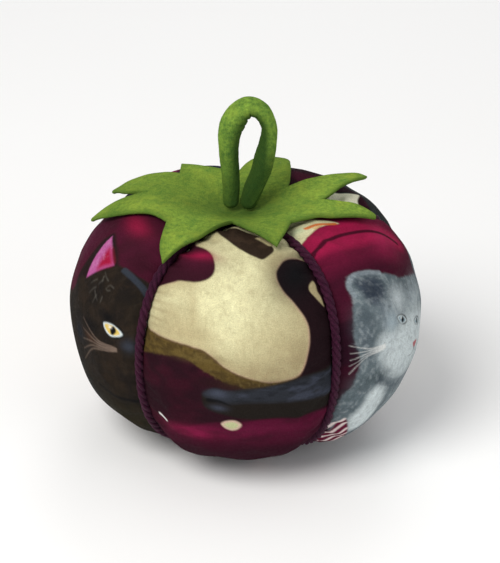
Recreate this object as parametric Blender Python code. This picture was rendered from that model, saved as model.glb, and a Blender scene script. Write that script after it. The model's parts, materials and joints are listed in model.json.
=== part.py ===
"""Tomato pin cushion: five print-cotton gores over a fibre filling, a cord in each seam,
a felt calyx on the crown and a rolled felt loop to hang it by.

Metres, +Z up. The origin is the centre of the base disc's underside, and -Y is the front.
Azimuths run from the front towards +X. Latitudes run from +90 degrees at the crown to -90.
"""

import math

import bmesh
import bpy
import numpy as np
from mathutils import Vector

GAP = 0.0003

# The stuffed body: its outer line, over the middle of a lobe
BODY_RADIUS = 0.0475
CROWN_HEIGHT = 0.0296
UNDERSIDE_DEPTH = 0.0350
CROWN_FULLNESS = 0.476
UNDERSIDE_FULLNESS = 0.555
END_FULLNESS = 0.985
LOBES = 5
FIRST_SEAM = math.radians(-38.6)
LOBE_ANGLE = math.tau / LOBES

# The dimple that the stitches pull into the crown, under the loop
LOOP_X = -0.0022
DIMPLE_DEPTH = 0.0045
DIMPLE_RADIUS = 0.013

# Felt, cotton, cord and thread
COVER_THICKNESS = 0.0005
FELT_THICKNESS = 0.0012
BASE_THICKNESS = 0.0015
BASE_RADIUS = 0.014
CORD_RADIUS = 0.0012
TIE_RADIUS = 0.0008
KNOT_RADIUS = 0.002

# How deep the seams are pulled in: at the equator and at the poles
CORD_DEPTH_EQUATOR = 0.0043
CORD_DEPTH_POLE = 0.0022
SEAM_UNDER_CORD = 0.0015
SEAM_SHARPNESS = 0.48
COVER_END_RADIUS = 0.007
CORD_END_RADIUS = 0.0038
FILLING_CLEARANCE = 0.0013
KNOT_POCKET_DEPTH = 0.0048
KNOT_POCKET_RADIUS = 0.006
BORE_RADIUS = TIE_RADIUS + 0.0005

EQUATOR_HEIGHT = BASE_THICKNESS + GAP + UNDERSIDE_DEPTH

# The calyx outline, notch and tip by turns: azimuth in degrees, radius in plan, lift off the crown
CALYX_GAP = 0.0006
CALYX_OUTLINE = (
    (-56, 0.0249, 0.0002),
    (-35, 0.0363, 0.0004),
    (-17, 0.0140, 0.0002),
    (16, 0.0279, 0.0004),
    (41, 0.0176, 0.0002),
    (81, 0.0332, 0.0008),
    (89, 0.0198, 0.0003),
    (113, 0.0326, 0.0042),
    (128, 0.0136, 0.0002),
    (153, 0.0255, 0.0006),
    (165, 0.0300, 0.0008),
    (178, 0.0257, 0.0006),
    (188, 0.0182, 0.0003),
    (219, 0.0286, 0.0006),
    (230, 0.0240, 0.0003),
    (240, 0.0352, 0.0008),
    (249, 0.0379, 0.0010),
    (263, 0.0274, 0.0003),
    (270, 0.0398, 0.0010),
    (281, 0.0325, 0.0005),
)
POINTS_PER_EDGE = 4
CALYX_RINGS = 6

# The loop's centre line in its own plane, left foot to right foot: x, height over its hinge, radius
LOOP_ROUTE = (
    (-0.0022, 0.0, 0.0021),
    (-0.0023, 0.0040, 0.0022),
    (-0.0026, 0.0090, 0.0023),
    (-0.0030, 0.0140, 0.0024),
    (-0.0030, 0.0185, 0.0026),
    (-0.0022, 0.0222, 0.0030),
    (-0.0004, 0.0252, 0.0029),
    (0.0024, 0.0267, 0.0027),
    (0.0055, 0.0252, 0.0024),
    (0.0073, 0.0215, 0.0021),
    (0.0072, 0.0170, 0.0023),
    (0.0064, 0.0125, 0.0026),
    (0.0051, 0.0075, 0.0025),
    (0.0036, 0.0035, 0.0025),
    (0.0026, 0.0, 0.0023),
)
LOOP_POINTS_PER_SPAN = 3
FOOT_STEPS = 4

PANEL_NAMES = ("cover_front", "cover_right", "cover_back_right", "cover_back_left", "cover_left")
CORD_NAMES = ("cord_front_left", "cord_front_right", "cord_right", "cord_back", "cord_left")

PRINT_COLOUR = (0.13, 0.02, 0.06)
FILLING_COLOUR = (0.85, 0.84, 0.80)
CORD_COLOUR = (0.10, 0.015, 0.06)
FELT_COLOUR = (0.16, 0.32, 0.05)
THREAD_COLOUR = (0.75, 0.72, 0.62)


def clear_scene():
    for obj in list(bpy.data.objects):
        bpy.data.objects.remove(obj, do_unlink=True)


def material(name, colour, roughness):
    made = bpy.data.materials.new(name)
    made.use_nodes = True
    shader = made.node_tree.nodes["Principled BSDF"]
    shader.inputs["Base Color"].default_value = (*colour, 1)
    shader.inputs["Roughness"].default_value = roughness
    shader.inputs["Metallic"].default_value = 0
    return made


def add_object(name, data, surface):
    obj = bpy.data.objects.new(name, data)
    bpy.context.scene.collection.objects.link(obj)
    data.materials.append(surface)
    return obj


def outer_line(latitude):
    """Radius and height, over the equator, of the body's outer line."""
    flat, steep = np.cos(latitude), np.sin(latitude)
    reach = np.where(steep > 0, CROWN_HEIGHT, UNDERSIDE_DEPTH)
    fullness = np.where(steep > 0, CROWN_FULLNESS, UNDERSIDE_FULLNESS)
    radius = BODY_RADIUS * np.abs(flat) ** fullness
    return radius, reach * np.sign(steep) * np.abs(steep) ** END_FULLNESS


def latitudes(end_radius, count):
    """Latitudes evenly spaced along the outer line, from end_radius at the crown to the same below."""
    fine = np.radians(np.linspace(89.99, -89.99, 6000))
    radius, height = outer_line(fine)
    length = np.concatenate([[0], np.cumsum(np.hypot(np.diff(radius), np.diff(height)))])
    kept = np.flatnonzero(radius >= end_radius)
    return np.interp(np.linspace(length[kept[0]], length[kept[-1]], count), length, fine)


def crown_latitude(radius):
    return math.acos((radius / BODY_RADIUS) ** (1 / CROWN_FULLNESS))


def dimple(x, y):
    return DIMPLE_DEPTH * math.exp(-((x - LOOP_X) ** 2 + y**2) / DIMPLE_RADIUS**2)


def body_point(azimuth, latitude, depth):
    """A point this deep under the outer line, with the crown's dimple pressed in."""
    step = 1e-4 if latitude < 0 else -1e-4
    radius, height = outer_line(latitude)
    next_radius, next_height = outer_line(latitude + step)
    run, rise = (next_radius - radius) / step, (next_height - height) / step
    slope = math.hypot(run, rise)
    radius -= depth * rise / slope
    height += depth * run / slope
    x, y = radius * math.sin(azimuth), -radius * math.cos(azimuth)
    if latitude > 0:
        height -= dimple(x, y)
    return Vector((x, y, EQUATOR_HEIGHT + height))


def cord_depth(latitude):
    deeper = CORD_DEPTH_EQUATOR - CORD_DEPTH_POLE
    return CORD_DEPTH_POLE + deeper * abs(math.cos(latitude)) ** 1.5


def lobe_depth(across, latitude):
    """Depth of the cover at a place across its lobe, from -1 at one seam to 1 at the next."""
    shape = (1 - SEAM_SHARPNESS) * across**2 + SEAM_SHARPNESS * across**8
    return (cord_depth(latitude) + SEAM_UNDER_CORD) * shape


def grid_mesh(name, rows, closed_across=False, closed_along=False):
    """Quads over rows of points. Rows run down and points run anticlockwise, so faces look out."""
    mesh = bmesh.new()
    verts = [[mesh.verts.new(point) for point in row] for row in rows]
    below = verts[1:] + ([verts[0]] if closed_along else [])
    for upper, lower in zip(verts, below):
        columns = len(upper) if closed_across else len(upper) - 1
        for j in range(columns):
            k = (j + 1) % len(upper)
            mesh.faces.new((upper[j], lower[j], lower[k], upper[k]))
    data = bpy.data.meshes.new(name)
    mesh.to_mesh(data)
    mesh.free()
    data.shade_smooth()
    return data


def thicken(obj, thickness, offset):
    solid = obj.modifiers.new("thickness", "SOLIDIFY")
    solid.thickness = thickness
    solid.offset = offset
    solid.use_even_offset = True


def make_filling(surface):
    """The fibre core, lobed like the cover, with a bore for the tie and a pocket at each knot."""
    azimuths = [FIRST_SEAM + LOBE_ANGLE * step / 8 for step in range(8 * LOBES)]
    rows = []
    for latitude in latitudes(BORE_RADIUS, 17):
        radius = outer_line(latitude)[0]
        pocket = KNOT_POCKET_DEPTH * math.exp(-((radius / KNOT_POCKET_RADIUS) ** 4))
        row = []
        for step, azimuth in enumerate(azimuths):
            across = (step % 8) / 4 - 1
            depth = FILLING_CLEARANCE + lobe_depth(across, latitude)
            row.append(body_point(azimuth, latitude, max(depth, pocket)))
        rows.append(row)
    return add_object("filling", grid_mesh("filling", rows, True, True), surface)


def make_panel(name, middle, surface):
    """One gore of the cover. Its two long edges stop beside the cords."""
    columns, rows = 11, []
    for latitude in latitudes(COVER_END_RADIUS, 19):
        seam = body_point(0, latitude, cord_depth(latitude) + SEAM_UNDER_CORD)
        seam_radius = math.hypot(seam.x, seam.y)
        cut = math.asin((CORD_RADIUS + 1.5 * GAP) / seam_radius)
        edge = 1 - cut / (LOBE_ANGLE / 2)
        row = []
        for column in range(columns):
            across = edge * (2 * column / (columns - 1) - 1)
            azimuth = middle + across * LOBE_ANGLE / 2
            row.append(body_point(azimuth, latitude, lobe_depth(across, latitude)))
        rows.append(row)
    panel = add_object(name, grid_mesh(name, rows), surface)
    thicken(panel, COVER_THICKNESS, -1)
    return panel


def tube(name, points, radii, surface, sides_level):
    """A round tube with filled ends through these points."""
    curve = bpy.data.curves.new(name, "CURVE")
    curve.dimensions = "3D"
    curve.bevel_depth = 1.0
    curve.bevel_resolution = sides_level
    curve.use_fill_caps = True
    spline = curve.splines.new("POLY")
    spline.points.add(len(points) - 1)
    for place, point, radius in zip(spline.points, points, radii):
        place.co = (*point, 1)
        place.radius = radius
    return add_object(name, curve, surface)


def make_cord(name, azimuth, surface):
    """A seam cord, which its groove holds from the crown knot to the base knot."""
    path = latitudes(CORD_END_RADIUS, 25)
    points = [body_point(azimuth, latitude, cord_depth(latitude)) for latitude in path]
    return tube(name, points, [CORD_RADIUS] * len(points), surface, 2)


def make_tie(surface):
    """The waxed thread through the middle, with the knot at each end that pulls the poles in."""
    crown = body_point(0, math.pi / 2, KNOT_RADIUS + GAP / 2).z
    under = body_point(0, -math.pi / 2, KNOT_RADIUS + GAP / 2).z
    turns = [math.radians(angle) for angle in range(90, -61, -30)]
    upper = [(KNOT_RADIUS * math.cos(turn), crown + KNOT_RADIUS * math.sin(turn)) for turn in turns]
    lower = [(x, under - (z - crown)) for x, z in reversed(upper)]
    shank = [(TIE_RADIUS, upper[-1][1] - TIE_RADIUS), (TIE_RADIUS, lower[0][1] + TIE_RADIUS)]
    outline = upper + shank + lower
    data = bpy.data.meshes.new("centre_tie")
    edges = [(i, i + 1) for i in range(len(outline) - 1)]
    data.from_pydata([(max(x, 0), 0, z) for x, z in outline], edges, [])
    tie = add_object("centre_tie", data, surface)
    turned = tie.modifiers.new("turn", "SCREW")
    turned.steps = 12
    turned.render_steps = 12
    turned.use_merge_vertices = True
    turned.merge_threshold = 0.00001
    return tie


def calyx_rim():
    """Points round the calyx outline, straight from notch to tip: x, y and lift."""
    corners = []
    for degrees, radius, lift in CALYX_OUTLINE:
        azimuth = math.radians(degrees)
        corners.append(Vector((radius * math.sin(azimuth), -radius * math.cos(azimuth), lift)))
    rim = []
    for corner, following in zip(corners, corners[1:] + corners[:1]):
        rim += [corner.lerp(following, step / POINTS_PER_EDGE) for step in range(POINTS_PER_EDGE)]
    return rim


def felt_point(x, y, lift):
    """A point of the felt's underside over the crown."""
    radius = math.hypot(x, y)
    return body_point(math.atan2(x, -y), crown_latitude(radius), -(CALYX_GAP + lift))


def make_calyx(surface):
    """A star of felt leaves, draped on the crown, whose tips stand off it."""
    mesh = bmesh.new()
    centre = mesh.verts.new(felt_point(0, 0, 0))
    rim = calyx_rim()
    rings = []
    for ring in range(1, CALYX_RINGS + 1):
        share = ring / CALYX_RINGS
        points = [felt_point(p.x * share, p.y * share, p.z * share**3) for p in rim]
        rings.append([mesh.verts.new(point) for point in points])
    for j in range(len(rim)):
        k = (j + 1) % len(rim)
        mesh.faces.new((centre, rings[0][j], rings[0][k]))
        for inner, outer in zip(rings, rings[1:]):
            mesh.faces.new((inner[j], outer[j], outer[k], inner[k]))
    data = bpy.data.meshes.new("calyx")
    mesh.to_mesh(data)
    mesh.free()
    calyx = add_object("calyx", data, surface)
    thicken(calyx, FELT_THICKNESS, 1)
    return calyx


def smooth_route(places, per_span):
    """Catmull-Rom points through these places, so that the tube bends evenly."""
    ends = [places[0] * 2 - places[1]] + places + [places[-1] * 2 - places[-2]]
    route = []
    for a, b, c, d in zip(ends, ends[1:], ends[2:], ends[3:]):
        for step in range(per_span):
            t = step / per_span
            route.append(
                0.5 * (2 * b + (c - a) * t + (2 * a - 5 * b + 4 * c - d) * t**2
                       + (3 * b - a - 3 * c + d) * t**3)
            )
    return route + [places[-1]]


def round_foot(foot, direction, radius):
    """Points and radii that close a tube in a half ball below its foot."""
    turns = [math.radians(80 - 80 * step / FOOT_STEPS) for step in range(FOOT_STEPS)]
    points = [foot + direction * radius * math.sin(turn) for turn in turns]
    return points, [radius * math.cos(turn) for turn in turns]


def make_loop(surface):
    """The rolled felt loop. Both feet are half balls on the hinge, so it can flop either way."""
    crown = felt_point(LOOP_X, 0, 0).z
    thickest_foot = LOOP_ROUTE[-1][2]
    hinge = bpy.data.objects.new("loop_root", None)
    bpy.context.scene.collection.objects.link(hinge)
    hinge.location = (LOOP_X, 0, crown + FELT_THICKNESS + 2 * GAP + thickest_foot)
    # The radius takes the place of y while the route is smoothed
    places = [Vector((x, radius, z)) for x, z, radius in LOOP_ROUTE]
    smoothed = smooth_route(places, LOOP_POINTS_PER_SPAN)
    route = [Vector((place.x, 0, place.z)) for place in smoothed]
    radii = [place.y for place in smoothed]
    down = Vector((0, 0, -1))
    left, left_radii = round_foot(route[0], down, radii[0])
    right, right_radii = round_foot(route[-1], down, radii[-1])
    points = left + route + right[::-1]
    loop = tube("stem_loop", points, left_radii + radii + right_radii[::-1], surface, 4)
    loop.parent = hinge
    return loop


def make_base(surface):
    """The felt disc sewn over the gathered underside. It is flat, and the cushion stands on it."""
    mesh = bmesh.new()
    bmesh.ops.create_cone(
        mesh, cap_ends=True, segments=40,
        radius1=BASE_RADIUS, radius2=BASE_RADIUS, depth=BASE_THICKNESS,
    )
    data = bpy.data.meshes.new("base_disc")
    mesh.to_mesh(data)
    mesh.free()
    base = add_object("base_disc", data, surface)
    base.location.z = BASE_THICKNESS / 2
    return base


def main():
    clear_scene()
    felt = material("felt", FELT_COLOUR, 0.95)
    thread = material("waxed_thread", THREAD_COLOUR, 0.6)
    make_filling(material("fibre_filling", FILLING_COLOUR, 1.0))
    make_tie(thread)
    for index in range(LOBES):
        seam = FIRST_SEAM + LOBE_ANGLE * index
        panel, cord = PANEL_NAMES[index], CORD_NAMES[index]
        make_panel(panel, seam + LOBE_ANGLE / 2, material(panel, PRINT_COLOUR, 0.8))
        make_cord(cord, seam, material(cord, CORD_COLOUR, 0.7))
    make_calyx(felt)
    make_loop(material("rolled_felt", FELT_COLOUR, 0.95))
    make_base(material("base_felt", FELT_COLOUR, 0.95))


main()
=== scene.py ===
"""The tomato pin cushion's looks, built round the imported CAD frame. Metres, +Z up, -Y is the front.

Azimuths run from the front towards +X. Latitudes run from +90 degrees at the crown to -90.
The print is painted on a canvas in millimetres: across from the gore's middle, down from the crown.
"""

import json
import math

import bpy
import numpy as np
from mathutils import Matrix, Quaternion, Vector


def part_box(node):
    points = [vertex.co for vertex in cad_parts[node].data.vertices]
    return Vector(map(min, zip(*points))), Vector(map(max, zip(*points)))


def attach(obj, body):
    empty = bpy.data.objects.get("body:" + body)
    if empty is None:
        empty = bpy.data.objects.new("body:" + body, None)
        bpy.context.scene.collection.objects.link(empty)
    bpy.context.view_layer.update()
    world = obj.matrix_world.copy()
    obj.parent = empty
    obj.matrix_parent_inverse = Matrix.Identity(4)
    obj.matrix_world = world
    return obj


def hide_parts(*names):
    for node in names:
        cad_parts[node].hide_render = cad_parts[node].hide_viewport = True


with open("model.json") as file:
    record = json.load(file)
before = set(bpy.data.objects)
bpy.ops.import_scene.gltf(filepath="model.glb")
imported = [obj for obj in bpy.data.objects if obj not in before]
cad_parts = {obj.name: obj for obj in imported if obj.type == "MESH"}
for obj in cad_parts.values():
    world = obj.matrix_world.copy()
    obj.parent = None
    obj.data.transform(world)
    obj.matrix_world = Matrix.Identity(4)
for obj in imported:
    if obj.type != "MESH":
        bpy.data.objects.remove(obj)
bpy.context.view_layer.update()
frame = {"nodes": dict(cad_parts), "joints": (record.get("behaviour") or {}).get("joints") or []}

MM = 0.001
GAP = 0.0003
LOBES = 5
LOBE_ANGLE = math.tau / LOBES
FIRST_SEAM = math.radians(-38.6)
COVERS = ("cover_front", "cover_right", "cover_back_right", "cover_back_left", "cover_left")
CORDS = ("cord_front_left", "cord_front_right", "cord_right", "cord_back", "cord_left")

# ---- the body's form, from the frame's boxes and the ratios of a stuffed tomato ----


def node_reach(name):
    """The furthest that a CAD node comes from the upright axis."""
    return max(math.hypot(v.co.x, v.co.y) for v in frame["nodes"][name].data.vertices)


BASE_RADIUS = node_reach("base_disc")
BASE_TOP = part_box("base_disc")[1].z
BODY_RADIUS = node_reach("cover_front")
CROWN_HEIGHT = 0.623 * BODY_RADIUS
UNDERSIDE_DEPTH = 0.737 * BODY_RADIUS
CROWN_FULLNESS = 0.476
UNDERSIDE_FULLNESS = 0.555
END_FULLNESS = 0.985
EQUATOR_HEIGHT = BASE_TOP + GAP + UNDERSIDE_DEPTH

HINGE = Vector(frame["joints"][0]["pos_m"])
DIMPLE_DEPTH = 0.0045
DIMPLE_RADIUS = 0.013
CORD_DEPTH_EQUATOR = 0.0043
CORD_DEPTH_POLE = 0.0022
SEAM_UNDER_CORD = 0.0012
SEAM_SHARPNESS = 0.48


def outer_line(latitude):
    """Radius and height, over the equator, of the body's outer line."""
    flat, steep = np.cos(latitude), np.sin(latitude)
    reach = np.where(steep > 0, CROWN_HEIGHT, UNDERSIDE_DEPTH)
    fullness = np.where(steep > 0, CROWN_FULLNESS, UNDERSIDE_FULLNESS)
    radius = BODY_RADIUS * np.abs(flat) ** fullness
    return radius, reach * np.sign(steep) * np.abs(steep) ** END_FULLNESS


FINE_LATITUDES = np.radians(np.linspace(89.99, -89.99, 6000))
FINE_RADII, FINE_HEIGHTS = outer_line(FINE_LATITUDES)
FINE_STEPS = np.hypot(np.diff(FINE_RADII), np.diff(FINE_HEIGHTS))
FINE_LENGTHS = np.concatenate([[0], np.cumsum(FINE_STEPS)])
LINE_LENGTH = float(FINE_LENGTHS[-1])


def latitude_at(length):
    """Latitude this far down the outer line from the crown."""
    return np.interp(length, FINE_LENGTHS, FINE_LATITUDES)


def crown_latitude(radius):
    """Where the upper outer line is this far from the axis."""
    share = np.clip(np.asarray(radius) / BODY_RADIUS, 0, 1)
    return np.arccos(share ** (1 / CROWN_FULLNESS))


def body_points(azimuth, latitude, depth):
    """Points this deep under the outer line, with the crown's dimple pressed in, as an array."""
    step = np.where(latitude > 0, -1e-4, 1e-4)
    radius, height = outer_line(latitude)
    next_radius, next_height = outer_line(latitude + step)
    run, rise = (next_radius - radius) / step, (next_height - height) / step
    slope = np.hypot(run, rise)
    radius = radius - depth * rise / slope
    height = height + depth * run / slope
    x, y = radius * np.sin(azimuth), -radius * np.cos(azimuth)
    press = DIMPLE_DEPTH * np.exp(-((x - HINGE.x) ** 2 + y**2) / DIMPLE_RADIUS**2)
    height = height - np.where(latitude > 0, press, 0)
    return np.stack([x, y, EQUATOR_HEIGHT + height], -1)


def cord_depth(latitude):
    """How far the cords lie in from the outer line, less towards the poles."""
    deeper = CORD_DEPTH_EQUATOR - CORD_DEPTH_POLE
    return CORD_DEPTH_POLE + deeper * np.abs(np.cos(latitude)) ** 1.5


def lobe_depth(across, latitude):
    """Depth of the cover at a place across its lobe, from -1 at one seam to 1 at the next."""
    shape = (1 - SEAM_SHARPNESS) * across**2 + SEAM_SHARPNESS * across**8
    return (cord_depth(latitude) + SEAM_UNDER_CORD) * shape


# ---- meshes ----


def add_mesh(name, points, faces, smooth=True):
    """A new object from points and faces."""
    data = bpy.data.meshes.new(name)
    data.from_pydata([tuple(p) for p in points], [], faces)
    if smooth:
        data.shade_smooth()
    obj = bpy.data.objects.new(name, data)
    bpy.context.scene.collection.objects.link(obj)
    return obj


def grid_faces(rows, columns, closed_across=False):
    """Quads over rows x columns points that look out when rows run down and columns anticlockwise."""
    faces = []
    for i in range(rows - 1):
        for j in range(columns if closed_across else columns - 1):
            k = (j + 1) % columns
            faces.append((i * columns + j, (i + 1) * columns + j, (i + 1) * columns + k, i * columns + k))
    return faces


def disc_faces(rings, count):
    """An upper and a lower grid of rings, joined at the rim, each closed by its own centre point."""
    faces = grid_faces(rings, count, True)
    second = rings * count
    faces += [tuple(second + v for v in reversed(f)) for f in grid_faces(rings, count, True)]
    last = second - count
    for j in range(count):
        k = (j + 1) % count
        faces.append((last + j, second + last + j, second + last + k, last + k))
        faces.append((2 * second, j, k))
        faces.append((2 * second + 1, second + k, second + j))
    return faces


def set_point_values(data, name, values):
    """A named number or colour for each vertex, which a material reads."""
    values = np.asarray(values, np.float32)
    if values.ndim == 1:
        data.attributes.new(name, "FLOAT", "POINT").data.foreach_set("value", values)
        return
    if values.shape[1] == 3:
        values = np.column_stack([values, np.ones(len(values), np.float32)])
    made = data.attributes.new(name, "FLOAT_COLOR", "POINT")
    made.data.foreach_set("color", values.ravel())


def set_vector_values(data, name, values):
    """Stores three values on each point."""
    made = data.attributes.new(name, "FLOAT_VECTOR", "POINT")
    made.data.foreach_set("vector", np.asarray(values, np.float32).ravel())


def frames_along(path):
    """Unit tangents, and two steady crosswise directions, at each point of a path."""
    path = np.asarray(path, float)
    tangents = np.gradient(path, axis=0)
    tangents /= np.linalg.norm(tangents, axis=1, keepdims=True)
    first = np.cross(tangents[0], (0, 1, 0))
    if np.linalg.norm(first) < 0.1:
        first = np.cross(tangents[0], (1, 0, 0))
    sides = [first / np.linalg.norm(first)]
    for tangent in tangents[1:]:
        side = sides[-1] - tangent * np.dot(sides[-1], tangent)
        sides.append(side / np.linalg.norm(side))
    sides = np.array(sides)
    return tangents, sides, np.cross(tangents, sides)


def sweep(path, radius_at, sides, first_vertex=0):
    """Points, faces and (around, along) places of a closed tube. radius_at(i, turn) gives its radii."""
    path = np.asarray(path, float)
    _, across, up = frames_along(path)
    turns = np.arange(sides) * math.tau / sides
    lengths = np.concatenate([[0], np.cumsum(np.linalg.norm(np.diff(path, axis=0), axis=1))])
    points, places = [], []
    for i, centre in enumerate(path):
        radii = radius_at(i, turns)[:, None]
        ring = centre + radii * (np.cos(turns)[:, None] * across[i] + np.sin(turns)[:, None] * up[i])
        points.append(ring)
        places.append(np.column_stack([turns / math.tau, np.full(sides, lengths[i]), radii]))
    points, places = np.concatenate(points), np.concatenate(places)
    faces = []
    for i in range(len(path) - 1):
        for j in range(sides):
            k = (j + 1) % sides
            low, high = first_vertex + i * sides, first_vertex + (i + 1) * sides
            faces.append((low + j, low + k, high + k, high + j))
    faces.append(tuple(first_vertex + j for j in reversed(range(sides))))
    last = first_vertex + (len(path) - 1) * sides
    faces.append(tuple(last + j for j in range(sides)))
    return points, faces, places


def smooth_route(places, per_span, closed=False):
    """Catmull-Rom points through a few places."""
    places = [np.asarray(p, float) for p in places]
    if closed:
        ends = [places[-1]] + places + places[:2]
    else:
        ends = [2 * places[0] - places[1]] + places + [2 * places[-1] - places[-2]]
    t = (np.arange(per_span) / per_span)[:, None]
    route = [
        0.5 * (2 * b + (c - a) * t + (2 * a - 5 * b + 4 * c - d) * t**2 + (3 * b - a - 3 * c + d) * t**3)
        for a, b, c, d in zip(ends, ends[1:], ends[2:], ends[3:])
    ]
    route = np.concatenate(route)
    return route if closed else np.concatenate([route, [places[-1]]])


# ---- materials ----


class Nodes:
    """A material's node tree, built in short calls. An input is a number, a colour or another socket."""

    def __init__(self, name):
        self.material = bpy.data.materials.new(name)
        self.material.use_nodes = True
        self.tree = self.material.node_tree
        self.shader = self.tree.nodes["Principled BSDF"]

    def feed(self, socket, value):
        if isinstance(value, bpy.types.NodeSocket):
            self.tree.links.new(value, socket)
        elif isinstance(value, tuple) and len(value) == 3 and socket.type == "RGBA":
            socket.default_value = (*value, 1)
        else:
            socket.default_value = value

    def add(self, kind, inputs=(), **settings):
        node = self.tree.nodes.new("ShaderNode" + kind)
        for key, value in settings.items():
            setattr(node, key, value)
        for key, value in dict(inputs).items():
            self.feed(node.inputs[key], value)
        return node

    def math(self, operation, a, b=0.0, c=0.0, clamp=False):
        return self.add("Math", {0: a, 1: b, 2: c}, operation=operation, use_clamp=clamp).outputs[0]

    def mix(self, share, a, b, blend="MIX"):
        node = self.add("Mix", data_type="RGBA", blend_type=blend)
        for key, value in ((0, share), (6, a), (7, b)):
            self.feed(node.inputs[key], value)
        return node.outputs[2]

    def noise(self, place, scale, detail=2.0, roughness=0.5):
        inputs = {"Vector": place, "Scale": scale, "Detail": detail, "Roughness": roughness}
        return self.add("TexNoise", inputs).outputs["Fac"]

    def span(self, value, low, high, to_low=0.0, to_high=1.0):
        """value, spread from low..high to to_low..to_high and held there."""
        inputs = {0: value, 1: low, 2: high, 3: to_low, 4: to_high}
        return self.add("MapRange", inputs, clamp=True).outputs[0]

    def attribute(self, name):
        return self.add("Attribute", attribute_name=name)

    def stretched(self, place, scale):
        return self.add("Mapping", {"Vector": place, "Scale": scale}).outputs[0]

    def bump(self, height, distance, strength=1.0, under=None):
        inputs = {"Height": height, "Distance": distance, "Strength": strength}
        if under is not None:
            inputs["Normal"] = under
        return self.add("Bump", inputs).outputs[0]

    def finish(self, **inputs):
        """Sets the shader's sockets, named with _ for each space."""
        for key, value in inputs.items():
            self.feed(self.shader.inputs[key.replace("_", " ")], value)
        return self.material


def cotton_material(name):
    """Quilting cotton: the painted print, a plain weave and slubs."""
    n = Nodes(name)
    print_colour = n.attribute("print").outputs["Color"]
    place = n.attribute("thread_mm").outputs["Vector"]
    parts = n.add("SeparateXYZ", {0: place})
    per_mm = math.tau / 0.42
    warp = n.math("SINE", n.math("MULTIPLY", parts.outputs[0], per_mm))
    weft = n.math("SINE", n.math("MULTIPLY", parts.outputs[1], per_mm))
    weave = n.math("MULTIPLY", warp, weft)
    warp_slubs = n.noise(n.stretched(place, (4.2, 0.5, 1)), 1.0, 3.0)
    weft_slubs = n.noise(n.stretched(place, (0.5, 4.2, 1)), 1.0, 3.0)
    slubs = n.math("ADD", warp_slubs, weft_slubs)
    cloudy = n.noise(place, 0.18, 3.0, 0.6)
    lighter = n.span(slubs, 0.7, 1.3, 0.93, 1.05)
    lighter = n.math("MULTIPLY", lighter, n.span(weave, -1, 1, 0.94, 1.03))
    lighter = n.math("MULTIPLY", lighter, n.span(cloudy, 0.3, 0.7, 0.94, 1.04))
    lighter = n.math("MULTIPLY", lighter, n.span(n.noise(place, 2.6, 4.0, 0.75), 0.35, 0.65, 0.84, 1.12))
    grey = n.add("CombineXYZ", {0: lighter, 1: lighter, 2: lighter}).outputs[0]
    colour = n.mix(1.0, print_colour, grey, "MULTIPLY")
    speckled = n.span(n.noise(place, 3.4, 3.0, 0.7), 0.52, 0.68, 0.0, 0.45)
    stipple = n.mix(speckled, (1, 1, 1), (0.72, 0.62, 0.50))
    colour = n.mix(1.0, colour, stipple, "MULTIPLY")
    rumples = n.bump(n.noise(place, 0.55, 4.0, 0.55), 0.0006, 0.35)
    threads = n.bump(slubs, 0.00012, 0.5, rumples)
    woven = n.bump(weave, 0.00006, 0.6, threads)
    rough = n.span(n.noise(place, 1.1, 4.0), 0.3, 0.7, 0.66, 0.86)
    return n.finish(
        Base_Color=colour, Roughness=rough, Normal=woven, Specular_IOR_Level=0.03,
    )


def cord_material():
    """Twisted rayon: fine fibres that run along each strand, with painted highlights, and painted shade down
    between the strands.
    """
    n = Nodes("plum_twisted_cord")
    place = n.attribute("strand").outputs["Vector"]
    parts = n.add("SeparateXYZ", {0: place})
    around = n.math("MULTIPLY", parts.outputs[0], math.tau * 9)
    along = n.math("MULTIPLY", parts.outputs[1], 5200)
    fibres = n.math("SINE", n.math("ADD", around, along))
    fray = n.noise(n.stretched(place, (14, 900, 1)), 1.0, 4.0, 0.6)
    colour = n.mix(n.span(fray, 0.35, 0.65), (0.014, 0.002, 0.008), (0.070, 0.007, 0.036))
    # Painted highlights along the fibres.
    colour = n.mix(n.span(fibres, 0.2, 1.0, 0.0, 0.35), colour, (0.170, 0.024, 0.090))
    # Painted shade down in the grooves between the strands.
    deep = n.attribute("between").outputs["Fac"]
    colour = n.mix(deep, colour, (0.006, 0.001, 0.004))
    thread = n.bump(fibres, 0.00006, 0.8)
    thread = n.bump(fray, 0.00015, 0.6, thread)
    rough = n.span(fray, 0.3, 0.7, 0.45, 0.65)
    return n.finish(
        Base_Color=colour, Roughness=rough, Normal=thread, Sheen_Weight=0.04, Sheen_Roughness=0.4,
        Sheen_Tint=(0.80, 0.25, 0.55), Specular_IOR_Level=0.16,
    )


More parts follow.
